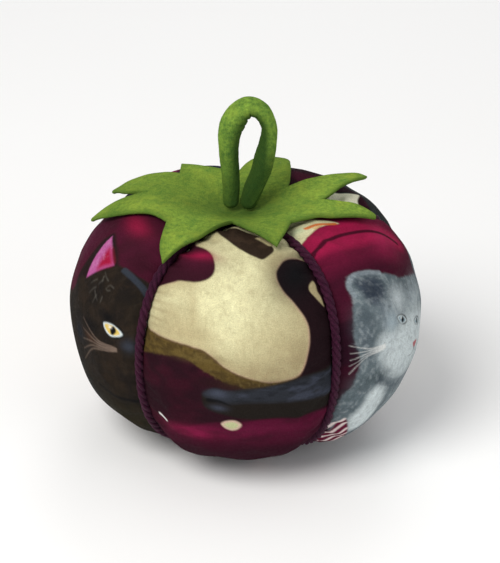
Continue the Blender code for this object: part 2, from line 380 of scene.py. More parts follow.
def felt_material(name, light, deep):
    """Pressed felt: matted fibres in several greens, pits, a nap that catches light, painted shade along its
    cut edges and wherever its shade attribute asks.
    """
    n = Nodes(name)
    place = n.add("TexCoord").outputs["Object"]
    matted = n.noise(place, 900, 6.0, 0.7)
    clumps = n.noise(place, 160, 4.0, 0.6)
    broad = n.noise(place, 38, 3.0, 0.5)
    swirl = n.add("TexNoise", {"Vector": place, "Scale": 420.0}).outputs["Color"]
    bent = n.add("VectorMath", {0: swirl, 1: (0.0012, 0.0012, 0.0012), 2: place}, operation="MULTIPLY_ADD")
    fibres = n.add("TexVoronoi", {"Vector": bent.outputs[0], "Scale": 1300.0}, feature="DISTANCE_TO_EDGE")
    fibre_lines = n.span(fibres.outputs["Distance"], 0.0, 0.12, 1.0, 0.0)
    colour = n.mix(n.span(matted, 0.36, 0.62), deep, light)
    yellow = tuple(min(1.0, c * f) for c, f in zip(light, (1.45, 1.12, 1.0)))
    colour = n.mix(n.span(clumps, 0.48, 0.72, 0.0, 0.5), colour, yellow)
    bluish = tuple(c * f for c, f in zip(deep, (0.45, 0.80, 0.95)))
    colour = n.mix(n.span(n.noise(place, 240, 4.0, 0.65), 0.50, 0.66, 0.0, 0.5), colour, bluish)
    dark = tuple(c * 0.55 for c in deep)
    colour = n.mix(n.span(broad, 0.36, 0.62, 0.5, 0.0), colour, dark)
    colour = n.mix(n.math("MULTIPLY", fibre_lines, 0.22), colour, yellow)
    # Painted shade along the cut edges, where the felt's thickness turns from the light.
    edge = n.attribute("cut_edge_shade").outputs["Fac"]
    colour = n.mix(n.math("MULTIPLY", edge, n.span(matted, 0.3, 0.7, 0.3, 0.8)), colour, deep)
    # Painted shade: the felt darkens to a deep blue-green wherever its shade attribute is high.
    shade = n.attribute("shade").outputs["Fac"]
    colour = n.mix(shade, colour, tuple(c * f for c, f in zip(deep, (0.16, 0.24, 0.30))))
    nap = n.bump(broad, 0.0012, 0.35)
    nap = n.bump(clumps, 0.0005, 0.5, nap)
    nap = n.bump(n.math("ADD", matted, n.math("MULTIPLY", fibre_lines, 0.35)), 0.00035, 0.8, nap)
    rough = n.span(matted, 0.3, 0.7, 0.86, 1.0)
    return n.finish(
        Base_Color=colour, Roughness=rough, Normal=nap, Sheen_Weight=0.12, Sheen_Roughness=0.6,
        Sheen_Tint=(0.42, 0.72, 0.10), Specular_IOR_Level=0.04,
    )


def thread_material(name, colour):
    """Sewing thread: two plies with fine fibres."""
    n = Nodes(name)
    place = n.attribute("strand").outputs["Vector"]
    fray = n.noise(n.stretched(place, (8, 1500, 1)), 1.0, 3.0, 0.6)
    darker = tuple(c * 0.5 for c in colour)
    return n.finish(
        Base_Color=n.mix(n.span(fray, 0.3, 0.7), darker, colour),
        Roughness=n.span(fray, 0.3, 0.7, 0.5, 0.75),
        Normal=n.bump(fray, 0.0001, 0.6),
        Sheen_Weight=0.15,
    )


def fibrefill_material():
    """Packed polyester fibre: white crossing strands, with painted shade in the hollows between its clumps.
    """
    n = Nodes("white_fibrefill")
    place = n.add("TexCoord").outputs["Object"]
    strands = n.noise(n.stretched(place, (180, 1400, 700)), 1.0, 5.0, 0.65)
    clumps = n.noise(place, 90, 4.0, 0.6)
    # Painted shade: grey where the clumps sink, which the bump below makes hollows.
    colour = n.mix(n.span(clumps, 0.3, 0.7), (0.62, 0.61, 0.57), (0.90, 0.89, 0.86))
    colour = n.mix(n.span(strands, 0.5, 0.8, 0.0, 0.5), colour, (0.97, 0.97, 0.96))
    fluff = n.bump(n.math("ADD", strands, clumps), 0.0009, 0.7)
    return n.finish(
        Base_Color=colour, Roughness=n.span(strands, 0.3, 0.7, 0.85, 1.0), Normal=fluff, Sheen_Weight=0.3,
    )


def waxed_thread_material():
    """Waxed linen tie thread, laid in a steep spiral."""
    n = Nodes("waxed_linen")
    place = n.add("TexCoord").outputs["Object"]
    lay = n.add("TexWave", {"Vector": place, "Scale": 420.0, "Distortion": 2.0}, bands_direction="DIAGONAL")
    fleck = n.noise(place, 1200, 3.0)
    colour = n.mix(n.span(lay.outputs["Fac"], 0.2, 0.8), (0.42, 0.37, 0.26), (0.78, 0.73, 0.60))
    colour = n.mix(n.span(fleck, 0.5, 0.75, 0.0, 0.4), colour, (0.30, 0.25, 0.17))
    return n.finish(
        Base_Color=colour, Roughness=n.span(fleck, 0.3, 0.7, 0.35, 0.55),
        Normal=n.bump(lay.outputs["Fac"], 0.0002, 0.6),
    )


# ---- the printed cotton ----

PLUM = (0.066, 0.008, 0.023)
DARK_PLUM = (0.021, 0.0055, 0.010)
BRIGHT = (0.32, 0.012, 0.058)
CREAM = (0.70, 0.665, 0.40)
CREAM_SHADE = (0.45, 0.38, 0.21)
CREAM_DEEP = (0.33, 0.265, 0.145)
PINKISH = (0.52, 0.30, 0.24)
OLIVE = (0.105, 0.070, 0.020)
BROWN = (0.018, 0.0135, 0.010)
BLACK = (0.006, 0.006, 0.007)
SLATE = (0.026, 0.029, 0.037)
SLATE_LIGHT = (0.056, 0.064, 0.092)
DARK_GREY = (0.042, 0.056, 0.076)
GREY = (0.13, 0.165, 0.18)
PALE = (0.62, 0.69, 0.70)
WHITE = (0.82, 0.82, 0.79)
ORANGE = (0.60, 0.13, 0.02)
YELLOW = (0.66, 0.48, 0.12)
LILAC = (0.43, 0.10, 0.29)
RED = (0.34, 0.010, 0.044)
SAGE = (0.50, 0.53, 0.29)

CANVAS_HALF_WIDTH = 33.0
CANVAS_LENGTH = 134.0
CANVAS_PITCH = 0.2


def soft_field(random, u, v, across, down):
    """Random values on a coarse grid, blended smoothly between its points."""
    x, y = (u - u[0]) / across, (v - v[0]) / down
    values = random.random((int(y[-1]) + 2, int(x[-1]) + 2))
    i, j = y.astype(int), x.astype(int)
    fy, fx = (y - i)[:, None], (x - j)[None]
    fy, fx = fy * fy * (3 - 2 * fy), fx * fx * (3 - 2 * fx)
    upper = values[i][:, j] * (1 - fx) + values[i][:, j + 1] * fx
    lower = values[i + 1][:, j] * (1 - fx) + values[i + 1][:, j + 1] * fx
    return upper * (1 - fy) + lower * fy


class Canvas:
    """One gore's print, in linear colour, on a grid of points CANVAS_PITCH apart."""

    def __init__(self, ground, seed):
        self.u = np.arange(-CANVAS_HALF_WIDTH, CANVAS_HALF_WIDTH, CANVAS_PITCH)
        self.v = np.arange(0, CANVAS_LENGTH, CANVAS_PITCH)
        self.colour = np.empty((len(self.v), len(self.u), 3))
        self.colour[:] = ground
        self.random = np.random.default_rng(seed)
        self.grain = self.clouds(2.2, 2.2) * 4 - 2

    def clouds(self, across, down, octaves=3):
        """Uneven values, mostly from 0.2 to 0.8, in patches this many millimetres across and down."""
        shares = [0.6**octave for octave in range(octaves)]
        fields = [
            soft_field(self.random, self.u, self.v, across / 2**octave, down / 2**octave)
            for octave in range(octaves)
        ]
        return sum(s * f for s, f in zip(shares, fields)) / sum(shares)

    def window(self, points, margin):
        """Slices of the canvas round these points."""
        low, high = np.min(points, 0) - margin, np.max(points, 0) + margin
        columns = slice(*np.searchsorted(self.u, (low[0], high[0])))
        rows = slice(*np.searchsorted(self.v, (low[1], high[1])))
        return rows, columns

    def blend(self, rows, columns, share, colour):
        patch = self.colour[rows, columns]
        patch += (np.asarray(colour) - patch) * np.clip(share, 0, 1)[..., None]

    def distance(self, points, rows, columns):
        """Distance to a closed line, below zero inside it."""
        u, v = np.meshgrid(self.u[columns], self.v[rows])
        nearest = np.full(u.shape, 1e9)
        inside = np.zeros(u.shape, bool)
        for (ax, ay), (bx, by) in zip(points, np.roll(points, -1, 0)):
            dx, dy = bx - ax, by - ay
            t = np.clip(((u - ax) * dx + (v - ay) * dy) / (dx * dx + dy * dy + 1e-12), 0, 1)
            nearest = np.minimum(nearest, np.hypot(u - ax - t * dx, v - ay - t * dy))
            if ay != by:
                inside ^= ((ay > v) != (by > v)) & (u < dx * (v - ay) / (by - ay) + ax)
        return np.where(inside, -nearest, nearest)

    def fill(self, places, colour, soft=0.35, ragged=0.0, amount=1.0, corners=False):
        """A soft-edged closed shape through a few places, rounded unless it keeps its corners."""
        points = np.array(places, float) if corners else smooth_route(places, 6, closed=True)
        rows, columns = self.window(points, 2 + soft)
        away = self.distance(points, rows, columns) + ragged * self.grain[rows, columns]
        self.blend(rows, columns, amount * (0.5 - away / soft), colour)

    def dapple(self, places, colour, patch, amount=0.6, low=0.42, high=0.64, soft=1.0):
        """Uneven patches of another colour in a closed shape, or over the whole canvas."""
        field = self.clouds(*patch)
        share = amount * np.clip((field - low) / (high - low), 0, 1)
        rows, columns = slice(None), slice(None)
        if places is not None:
            points = smooth_route(places, 6, closed=True)
            rows, columns = self.window(points, 2 + soft)
            share = share[rows, columns] * np.clip(0.5 - self.distance(points, rows, columns) / soft, 0, 1)
        self.blend(rows, columns, share, colour)

    def keep_outside(self, places, before):
        """Put back the colours that were there before, everywhere outside a closed shape."""
        points = smooth_route(places, 6, closed=True)
        rows, columns = self.window(points, 9)
        share = np.clip(0.5 + self.distance(points, rows, columns) / 0.4, 0, 1)
        self.blend(rows, columns, share, before[rows, columns])

    def rim(self, places, colour, width, amount=0.8):
        """A shaded band along a closed shape's inner edge."""
        points = smooth_route(places, 6, closed=True)
        rows, columns = self.window(points, width + 1)
        depth = -self.distance(points, rows, columns)
        share = np.where(depth > -0.15, np.exp(-((np.maximum(depth, 0) / width) ** 2)), 0)
        self.blend(rows, columns, amount * share, colour)

    def glow(self, centre, reach, colour, amount=0.8):
        """A soft oval wash of colour."""
        centre, reach = np.asarray(centre, float), np.asarray(reach, float)
        rows, columns = self.window(np.array([centre - 2 * reach, centre + 2 * reach]), 0)
        u, v = np.meshgrid(self.u[columns], self.v[rows])
        away = ((u - centre[0]) / reach[0]) ** 2 + ((v - centre[1]) / reach[1]) ** 2
        self.blend(rows, columns, amount * np.exp(-away), colour)

    def stroke(self, places, width, colour, amount=1.0, taper=True):
        """A brush line through a few places, thinner to its end."""
        points = smooth_route(places, 5)
        rows, columns = self.window(points, width + 0.6)
        u, v = np.meshgrid(self.u[columns], self.v[rows])
        shares = np.linspace(0, 1, len(points))
        cover = np.zeros(u.shape)
        for (a, b), (c, d), share in zip(points, points[1:], shares):
            thick = width / 2 * ((1 - share) ** 0.6 if taper else 1)
            along = (u - a) * (c - a) + (v - b) * (d - b)
            t = np.clip(along / ((c - a) ** 2 + (d - b) ** 2 + 1e-12), 0, 1)
            away = np.hypot(u - a - t * (c - a), v - b - t * (d - b))
            cover = np.maximum(cover, np.clip(0.5 - (away - thick) / 0.3, 0, 1))
        self.blend(rows, columns, amount * cover, colour)

    def fur(self, places, colours, count, length, lean, width=0.35, fan=0.35, amount=0.5, outwards=0.0):
        """Short hairs over a closed shape. lean is their bearing in degrees: 0 is down, 90 to the right."""
        points = smooth_route(places, 6, closed=True)
        low, high = points.min(0), points.max(0)
        middle = points.mean(0)
        for _ in range(count):
            root = low + self.random.random(2) * (high - low)
            colour = colours[self.random.integers(len(colours))]
            angle = math.radians(lean) + self.random.normal() * fan
            long = length * self.random.uniform(0.6, 1.3)
            if not inside_outline(root, points):
                continue
            way = np.array([math.sin(angle), math.cos(angle)])
            spread = (root - middle) / (np.linalg.norm(root - middle) + 1e-6)
            way = way * (1 - outwards) + spread * outwards
            way /= np.linalg.norm(way) + 1e-6
            bend = np.array([-way[1], way[0]]) * long * self.random.normal() * 0.12
            self.stroke((root, root + way * long * 0.5 + bend, root + way * long), width, colour, amount)

    def sample(self, u, v):
        """The colours at these places, blended between the canvas's points."""
        x = np.clip((u - self.u[0]) / CANVAS_PITCH, 0, len(self.u) - 1.001)
        y = np.clip((v - self.v[0]) / CANVAS_PITCH, 0, len(self.v) - 1.001)
        i, j = y.astype(int), x.astype(int)
        fy, fx = (y - i)[..., None], (x - j)[..., None]
        upper = self.colour[i, j] * (1 - fx) + self.colour[i, j + 1] * fx
        lower = self.colour[i + 1, j] * (1 - fx) + self.colour[i + 1, j + 1] * fx
        return upper * (1 - fy) + lower * fy


def inside_outline(place, points):
    x, y = place
    following = np.roll(points, -1, 0)
    ax, ay, bx, by = points[:, 0], points[:, 1], following[:, 0], following[:, 1]
    cross = ((ay > y) != (by > y)) & (x < (bx - ax) * (y - ay) / (by - ay + 1e-12) + ax)
    return bool(cross.sum() % 2)


def cat_eye(canvas, centre, size, iris, rim, lean=0.0):
    """An almond eye with a rim, an iris, a slit pupil and a glint."""
    x, y = centre
    cos, sin = math.cos(lean), math.sin(lean)

    def at(a, b):
        return (x + size * (a * cos - b * sin), y + size * (a * sin + b * cos))

    almond = [at(-1.2, -0.25), at(-0.4, -0.62), at(0.6, -0.55), at(1.2, 0.05), at(0.5, 0.55), at(-0.5, 0.35)]
    canvas.fill(almond, BLACK, 0.5)
    canvas.fill([at(a * 1.05, b * 1.05) for a, b in ((-1, -0.2), (0, -0.5), (1, 0), (0, 0.45))], rim, 0.3)
    canvas.fill([at(-0.85, -0.18), at(0, -0.42), at(0.8, 0), at(0, 0.36)], iris, 0.3)
    canvas.fill([at(0.02, -0.42), at(0.42, -0.05), at(0.18, 0.36), at(-0.16, 0)], BLACK, 0.25)
    canvas.glow(at(-0.25, -0.2), (0.16 * size, 0.12 * size), WHITE, 0.9)


def whisker_fan(canvas, root, side, reach, colour):
    """Five whiskers that spread evenly to one side of a muzzle."""
    x, y = root
    for k in range(5):
        drop = reach * (0.20 * k - 0.22)
        middle = (x + side * 0.55 * reach, y + 0.30 * drop)
        canvas.stroke(((x, y + 0.25 * k), middle, (x + side * reach, y + drop)), 0.34, colour, 0.7)


def cat_face(canvas, centre, size, coat, pale, inner_ear, iris):
    """A plain front-on cat's head of no particular breed."""
    x, y = centre

    def at(a, b):
        return (x + size * a, y + size * b)

    head = [at(-1, 0.1), at(-0.95, -0.45), at(-0.35, -0.72), at(0.35, -0.72), at(0.95, -0.45), at(1, 0.1),
            at(0.62, 0.62), at(0, 0.82), at(-0.62, 0.62)]
    for side in (-1, 1):
        ear = [at(side * 0.98, -0.38), at(side * 0.98, -1.0), at(side * 0.88, -1.22), at(side * 0.62, -1.02),
               at(side * 0.28, -0.6)]
        canvas.fill(ear, coat, 0.5)
        canvas.fill([at(side * 0.86, -0.55), at(side * 0.84, -0.98), at(side * 0.5, -0.68)], inner_ear, 0.6)
    canvas.fill(head, coat, 0.6)
    canvas.glow(at(0, 0.38), (0.42 * size, 0.30 * size), pale, 0.85)
    canvas.glow(at(0, -0.2), (0.12 * size, 0.4 * size), pale, 0.35)
    darker = tuple(c * 0.45 for c in coat)
    lighter = tuple(min(1, c * 1.7 + 0.02) for c in coat)
    canvas.dapple(head, darker, (2.5, 3.5), 0.5)
    canvas.fur(head, (darker, lighter), int(16 * size), 0.16 * size, 0, 0.3, 0.5, 0.5, 0.7)
    for side in (-1, 1):
        cat_eye(canvas, at(side * 0.42, -0.12), 0.23 * size, iris, WHITE, side * 0.12)
        whisker_fan(canvas, at(side * 0.2, 0.36), side, 1.05 * size, WHITE)
    nose = [at(-0.13, 0.2), at(0.13, 0.2), at(0, 0.34)]
    canvas.fill(nose, (0.40, 0.12, 0.13), 0.3)
    canvas.stroke((at(0, 0.33), at(-0.06, 0.47), at(-0.2, 0.48)), 0.3, BLACK, 0.8)
    canvas.stroke((at(0, 0.33), at(0.06, 0.47), at(0.2, 0.48)), 0.3, BLACK, 0.8)


def paw_print(canvas, centre, size, colour):
    """A rounded pad with four toes."""
    x, y = centre
    pad = [(x - size, y), (x - 0.4 * size, y - 0.7 * size), (x + 0.5 * size, y - 0.6 * size),
           (x + size, y + 0.1 * size), (x + 0.3 * size, y + 0.7 * size), (x - 0.6 * size, y + 0.6 * size)]
    canvas.fill(pad, colour, 0.4)
    turns = np.arange(6) * math.tau / 6
    for side, up in ((-1.1, 1.0), (-0.4, 1.55), (0.45, 1.55), (1.15, 0.95)):
        toe = np.array([x + side * size, y - up * size])
        ring = [toe + 0.32 * size * np.array([math.cos(a), math.sin(a)]) for a in turns]
        canvas.fill(ring, colour, 0.35)


def paint_pale_coat(c):
    """The front gore's pale cat: a back with a painted highlight, tan towards its edges by print shading and
    painted shade, over an olive fringe.
    """
    coat = [(-31, 53.2), (-25, 53.4), (-18, 53.7), (-11.8, 54.4), (-8, 55.3), (-5.4, 57), (-2.6, 59.2),
            (1.9, 61), (7.5, 62.3), (14, 62.3), (16.7, 61), (18.5, 57), (19.3, 52), (18.3, 47.5),
            (14.5, 42), (11.5, 38.5), (9.6, 34), (11, 29.2), (15.5, 27.4), (21, 28), (18, 20), (12, 12),
            (0, 8), (-12, 12), (-13.5, 21), (-11.5, 26.5), (-10, 30), (-11, 34.6), (-14, 36.6),
            (-21, 38.8), (-31, 42)]
    before = c.colour.copy()
    c.fill(coat, CREAM, 0.4, 0.06)
    # The coat's own print shading, deepened with painted shade towards its edges and lower right.
    c.rim(coat, CREAM_SHADE, 3.4, 0.75)
    c.glow((-17, 48), (8, 6), (0.47, 0.41, 0.235), 0.80)
    c.glow((-12, 51), (8, 3.4), CREAM_SHADE, 0.85)
    c.glow((-11.6, 45), (1.4, 6.5), CREAM_SHADE, 0.80)
    c.glow((-18.5, 43.4), (4.5, 1.1), (0.66, 0.63, 0.38), 0.7)
    for v, reach in ((41.6, 3.6), (44.4, 5.2), (46.6, 6.4), (49.2, 4.2), (51, 3)):
        c.glow((-24, v), (reach, 0.42), CREAM_DEEP, 0.65)
    c.glow((8.5, 29), (3.0, 4), (0.42, 0.35, 0.19), 0.70)
    c.glow((-7, 20), (3.0, 5), CREAM_SHADE, 0.55)
    # Painted shade, partly print shading, over the lower right of the coat.
    c.glow((11, 53), (9, 9), CREAM_SHADE, 0.80)
    c.glow((7, 60), (13, 4.4), CREAM_DEEP, 0.90)
    c.glow((16.5, 56.5), (4.4, 7), CREAM_DEEP, 0.85)
    # Painted highlight, partly print shading, on the middle of the back.
    c.glow((-1.5, 42), (7.5, 9), (0.80, 0.775, 0.475), 0.80)
    c.dapple(coat, CREAM_SHADE, (6, 6), 0.22)
    c.dapple(coat, (0.50, 0.46, 0.26), (1.6, 1.9), 0.22)
    c.dapple(coat, CREAM_DEEP, (0.9, 1.1), 0.20, 0.5, 0.7)
    c.rim(coat, PINKISH, 0.45, 0.55)
    c.keep_outside(coat, before)
    olive = [(-31, 53.2), (-25, 53.4), (-18, 53.7), (-11.8, 54.4), (-8, 55.3), (-5.4, 57), (-2.6, 59.2),
             (1.9, 61), (7.5, 62.3), (14, 62.3), (17.5, 60.8), (12.5, 63.8), (4, 64.5), (0.7, 63.6),
             (-4.5, 62.1), (-9.3, 59.2), (-14, 57.4), (-20.4, 58), (-31, 60.5)]
    c.fill(olive, OLIVE, 0.5, 0.25)
    c.glow((-9, 57), (7, 1.2), (0.150, 0.108, 0.036), 0.5)
    c.glow((7, 63.4), (9, 1.5), (0.050, 0.033, 0.014), 0.75)
    c.dapple(olive, (0.050, 0.032, 0.012), (2, 0.9), 0.7)
    coat_foot = ((-24, 53.5), (-15, 54), (-8, 55.4), (-3, 59), (2, 61.2))
    c.stroke(coat_foot, 0.45, (0.10, 0.062, 0.030), 0.7, False)
    c.fur(olive, ((0.17, 0.125, 0.045), BROWN), 260, 0.8, 20, 0.25, 0.4, 0.4)


def paint_dark_band(c):
    """The front gore's black drop, which runs down into a dark band, with a pale sliver at its side."""
    band = [(9.4, 33), (10, 31), (11.2, 29.2), (13.5, 28), (15.8, 28), (18, 28.9), (19.6, 31.2), (19.8, 34),
            (18.6, 37.6), (20.5, 40.5), (24, 44), (33, 52), (33, 66), (25, 64), (17.4, 62.4), (18.8, 57),
            (19.5, 52), (18.4, 47.5), (14.5, 42), (11.5, 38.5), (10, 35.8)]
    c.fill(band, (0.014, 0.006, 0.008), 0.4)
    c.glow((14.5, 34), (6, 7), BLACK, 0.95)
    sliver = [(19, 37.5), (20.3, 35.9), (21.4, 37), (23.1, 40.4), (24.8, 44), (22.6, 42.4), (20.4, 40)]
    c.fill(sliver, CREAM_SHADE, 0.4)
    patch = [(-7.2, 16), (-4.5, 12), (-1.5, 12.5), (2, 15.5), (7, 22.5), (8, 25), (7, 26.7), (5.5, 28.2),
             (3.6, 27.3), (1, 25.5), (-3, 21.5)]
    c.fill(patch, (0.030, 0.019, 0.013), 0.4)
    c.dapple(patch, (0.055, 0.034, 0.022), (2, 2.5), 0.5)
    c.fill([(3, 18.3), (5, 18.8), (7.8, 22), (6.8, 23), (5, 21)], CREAM_SHADE, 0.4)


def paint_slate_tail(c):
    """The front gore's slate tail and paw, dark underneath."""
    whole = [(-8.6, 67.6), (-7.5, 65.6), (-5, 64.6), (-2, 65), (2.5, 64.2), (8.5, 63.3), (14, 62.4),
             (18.5, 61.6), (25.5, 62), (33, 63), (33, 77), (25.5, 75.4), (18.5, 74.7), (13, 73.8),
             (4, 73.6), (-2, 72.4), (-5.4, 71.8), (-8, 70.6)]
    c.fill(whole, (0.015, 0.012, 0.010), 0.7)
    slate = [(-8, 67.3), (-7, 65.9), (-5, 65), (-2, 65.4), (2.5, 64.6), (8.5, 63.7), (14, 62.9),
             (18.5, 62.2), (25.5, 62.8), (33, 63.5), (33, 71.5), (27, 70.8), (20.5, 69.2), (14.5, 68.6),
             (8.5, 68.2), (2.5, 68.2), (-3, 68.6)]
    c.fill(slate, SLATE, 1.4)
    c.dapple(slate, SLATE_LIGHT, (5, 1.3), 0.6, 0.45, 0.7)
    c.dapple(slate, BLACK, (3, 1.0), 0.4, 0.5, 0.7)
    c.glow((-4.2, 66.2), (2.4, 1.0), SLATE_LIGHT, 0.85)
    c.glow((-4.2, 70.3), (2.2, 0.9), SLATE_LIGHT, 0.7)
    c.stroke(((-7, 68.4), (-4, 68.3), (-1, 69.2)), 1.1, BLACK, 0.85)


def paint_front():
    """A pale cat's back, curled up over plum, with a slate tail along its foot."""
    c = Canvas(DARK_PLUM, 11)
    c.dapple(None, (0.040, 0.006, 0.014), (9, 5), 0.7)
    rug = [(-33, 88), (-22, 85), (-18.5, 82.6), (-13.5, 79.5), (-9, 77), (-3.5, 75.2), (2, 74.6), (7.5, 74),
           (14.5, 74.6), (21, 75), (27, 77), (33, 80), (33, 98), (-33, 98)]
    c.fill(rug, (0.088, 0.006, 0.027), 1.0)
    c.glow((-11, 80.6), (8, 2.4), (0.23, 0.012, 0.058), 0.9)
    c.glow((4, 78), (8, 2.0), (0.15, 0.010, 0.045), 0.6)
    c.dapple(rug, DARK_PLUM, (8, 3), 0.4)
    c.fill([(-33, 90), (-15, 86), (10, 84), (33, 88), (33, 134), (-33, 134)], (0.030, 0.004, 0.012), 9)
    paint_pale_coat(c)
    finger = [(-33, 30), (-21.5, 29), (-18.5, 26), (-16, 24.6), (-12.8, 24.8), (-10.4, 25.6), (-8.6, 26.6),
              (-7.0, 28.3), (-6.3, 30.4), (-6.2, 32.6), (-6.9, 34.7), (-8.5, 36.2), (-11, 37.1), (-14, 37.4),
              (-17, 37.9), (-21, 39), (-33, 42.5)]
    c.fill(finger, (0.034, 0.007, 0.014), 0.4)
    c.glow((-12, 30.5), (6, 3.2), PLUM, 0.85)
    c.glow((-10.8, 28.6), (4.4, 1.5), BRIGHT, 0.95)
    paint_dark_band(c)
    paint_slate_tail(c)
    spot = [(-3.5, 75.4), (-2, 74.2), (0.4, 74), (1.9, 75.4), (1, 77), (-0.5, 77.7), (-2, 77.3), (-3, 76.5)]
    c.fill(spot, (0.60, 0.44, 0.34), 0.4)
    c.fill([(-0.8 + (x + 0.8) * 0.7, 75.8 + (y - 75.8) * 0.66) for x, y in spot], SAGE, 0.4)
    c.stroke(((-21.2, 77.8), (-20.2, 78.2), (-19, 79.1)), 1.0, WHITE, 0.95, False)
    paw_print(c, (6, 107), 2.0, PINKISH)
    paw_print(c, (-5, 114), 1.6, SAGE)
    return c


def paint_left():
    """A dark cat that looks out over the seam, one ear up."""
    c = Canvas(PLUM, 12)
    c.dapple(None, (0.042, 0.008, 0.016), (7, 6), 0.6)
    c.glow((3, 29), (5.5, 2.6), (0.26, 0.011, 0.045), 0.85)
    c.glow((18, 38), (5, 5), (0.034, 0.006, 0.013), 0.7)
    c.glow((-10, 42), (8, 6), (0.095, 0.013, 0.042), 0.5)
    ear_back = [(1.6, 35.0), (5.4, 36.0), (9.4, 37.8), (13, 40.2), (16, 41.4), (14, 46), (6, 52), (0.4, 53),
                (0.6, 46), (0.4, 40), (0.7, 36.6)]
    c.fill(ear_back, (0.018, 0.010, 0.010), 1.1)
    head = [(-33, 57), (-8, 58), (0.5, 53), (2.2, 50), (5, 48.6), (8.5, 45.5), (12, 42), (12.8, 40.6),
            (15.5, 39.9), (21, 40.1), (25, 40.6), (33, 43), (33, 84), (30, 98), (16, 107), (-10, 107),
            (-33, 96)]
    c.fill(head, BROWN, 0.7, 0.12)
    c.dapple(head, (0.029, 0.020, 0.014), (3.5, 4.5), 0.6)
    c.dapple(head, (0.010, 0.009, 0.009), (4.5, 5.5), 0.55)
    c.glow((4, 82), (6, 10), (0.013, 0.017, 0.018), 0.75)
    c.glow((17, 88), (12, 7), (0.024, 0.021, 0.012), 0.8)
    c.fur(head, (BLACK, (0.036, 0.028, 0.022), (0.034, 0.022, 0.015)), 1100, 2.2, -18, 0.3, 0.4, 0.4, 0.25)
    inner_ear = [(1.8, 35.9), (6, 37.6), (11.9, 41), (10, 43.4), (5.1, 48.8), (3.4, 43.4)]
    c.fill(inner_ear, LILAC, 0.45, corners=True)
    c.fill([(5.6, 38.2), (9, 39.3), (11.2, 41), (9.6, 43), (7.8, 44.8), (6.8, 42.2)], RED, 2.0)
    c.dapple([(2, 37), (8, 39), (5, 47)], (0.56, 0.24, 0.44), (0.8, 0.8), 0.4, 0.5, 0.7)
    c.stroke(((15.6, 40.6), (19.5, 41.2), (23, 42.3), (26, 44.2)), 1.7, (0.036, 0.045, 0.062), 0.75, False)
    c.fur([(9, 45.5), (18, 45), (19, 49), (11, 50.5)], ((0.19, 0.18, 0.155),), 12, 2.4, -18, 0.35, 0.6, 0.3)
    c.glow((19, 54), (4.4, 1.5), BLACK, 0.85)
    c.glow((12.5, 59), (5, 2), BLACK, 0.7)
    c.glow((6, 64), (3, 2.5), (0.010, 0.013, 0.019), 0.8)
    cat_eye(c, (21.4, 57.0), 3.3, YELLOW, PALE, 0.10)
    c.glow((26.8, 60.4), (1.8, 2.0), (0.040, 0.046, 0.062), 0.9)
    c.glow((13, 62.4), (3, 1.1), (0.060, 0.028, 0.018), 0.6)
    whisker_fan(c, (23.5, 62), -1, 15, (0.26, 0.19, 0.15))
    c.stroke(((14, 76.5), (18, 78), (21.5, 78.8), (27, 79.8)), 1.1, BLACK, 0.75, False)
    c.fill([(-33, 100), (-10, 108), (16, 107), (33, 98), (33, 134), (-33, 134)], DARK_PLUM, 2)
    return c


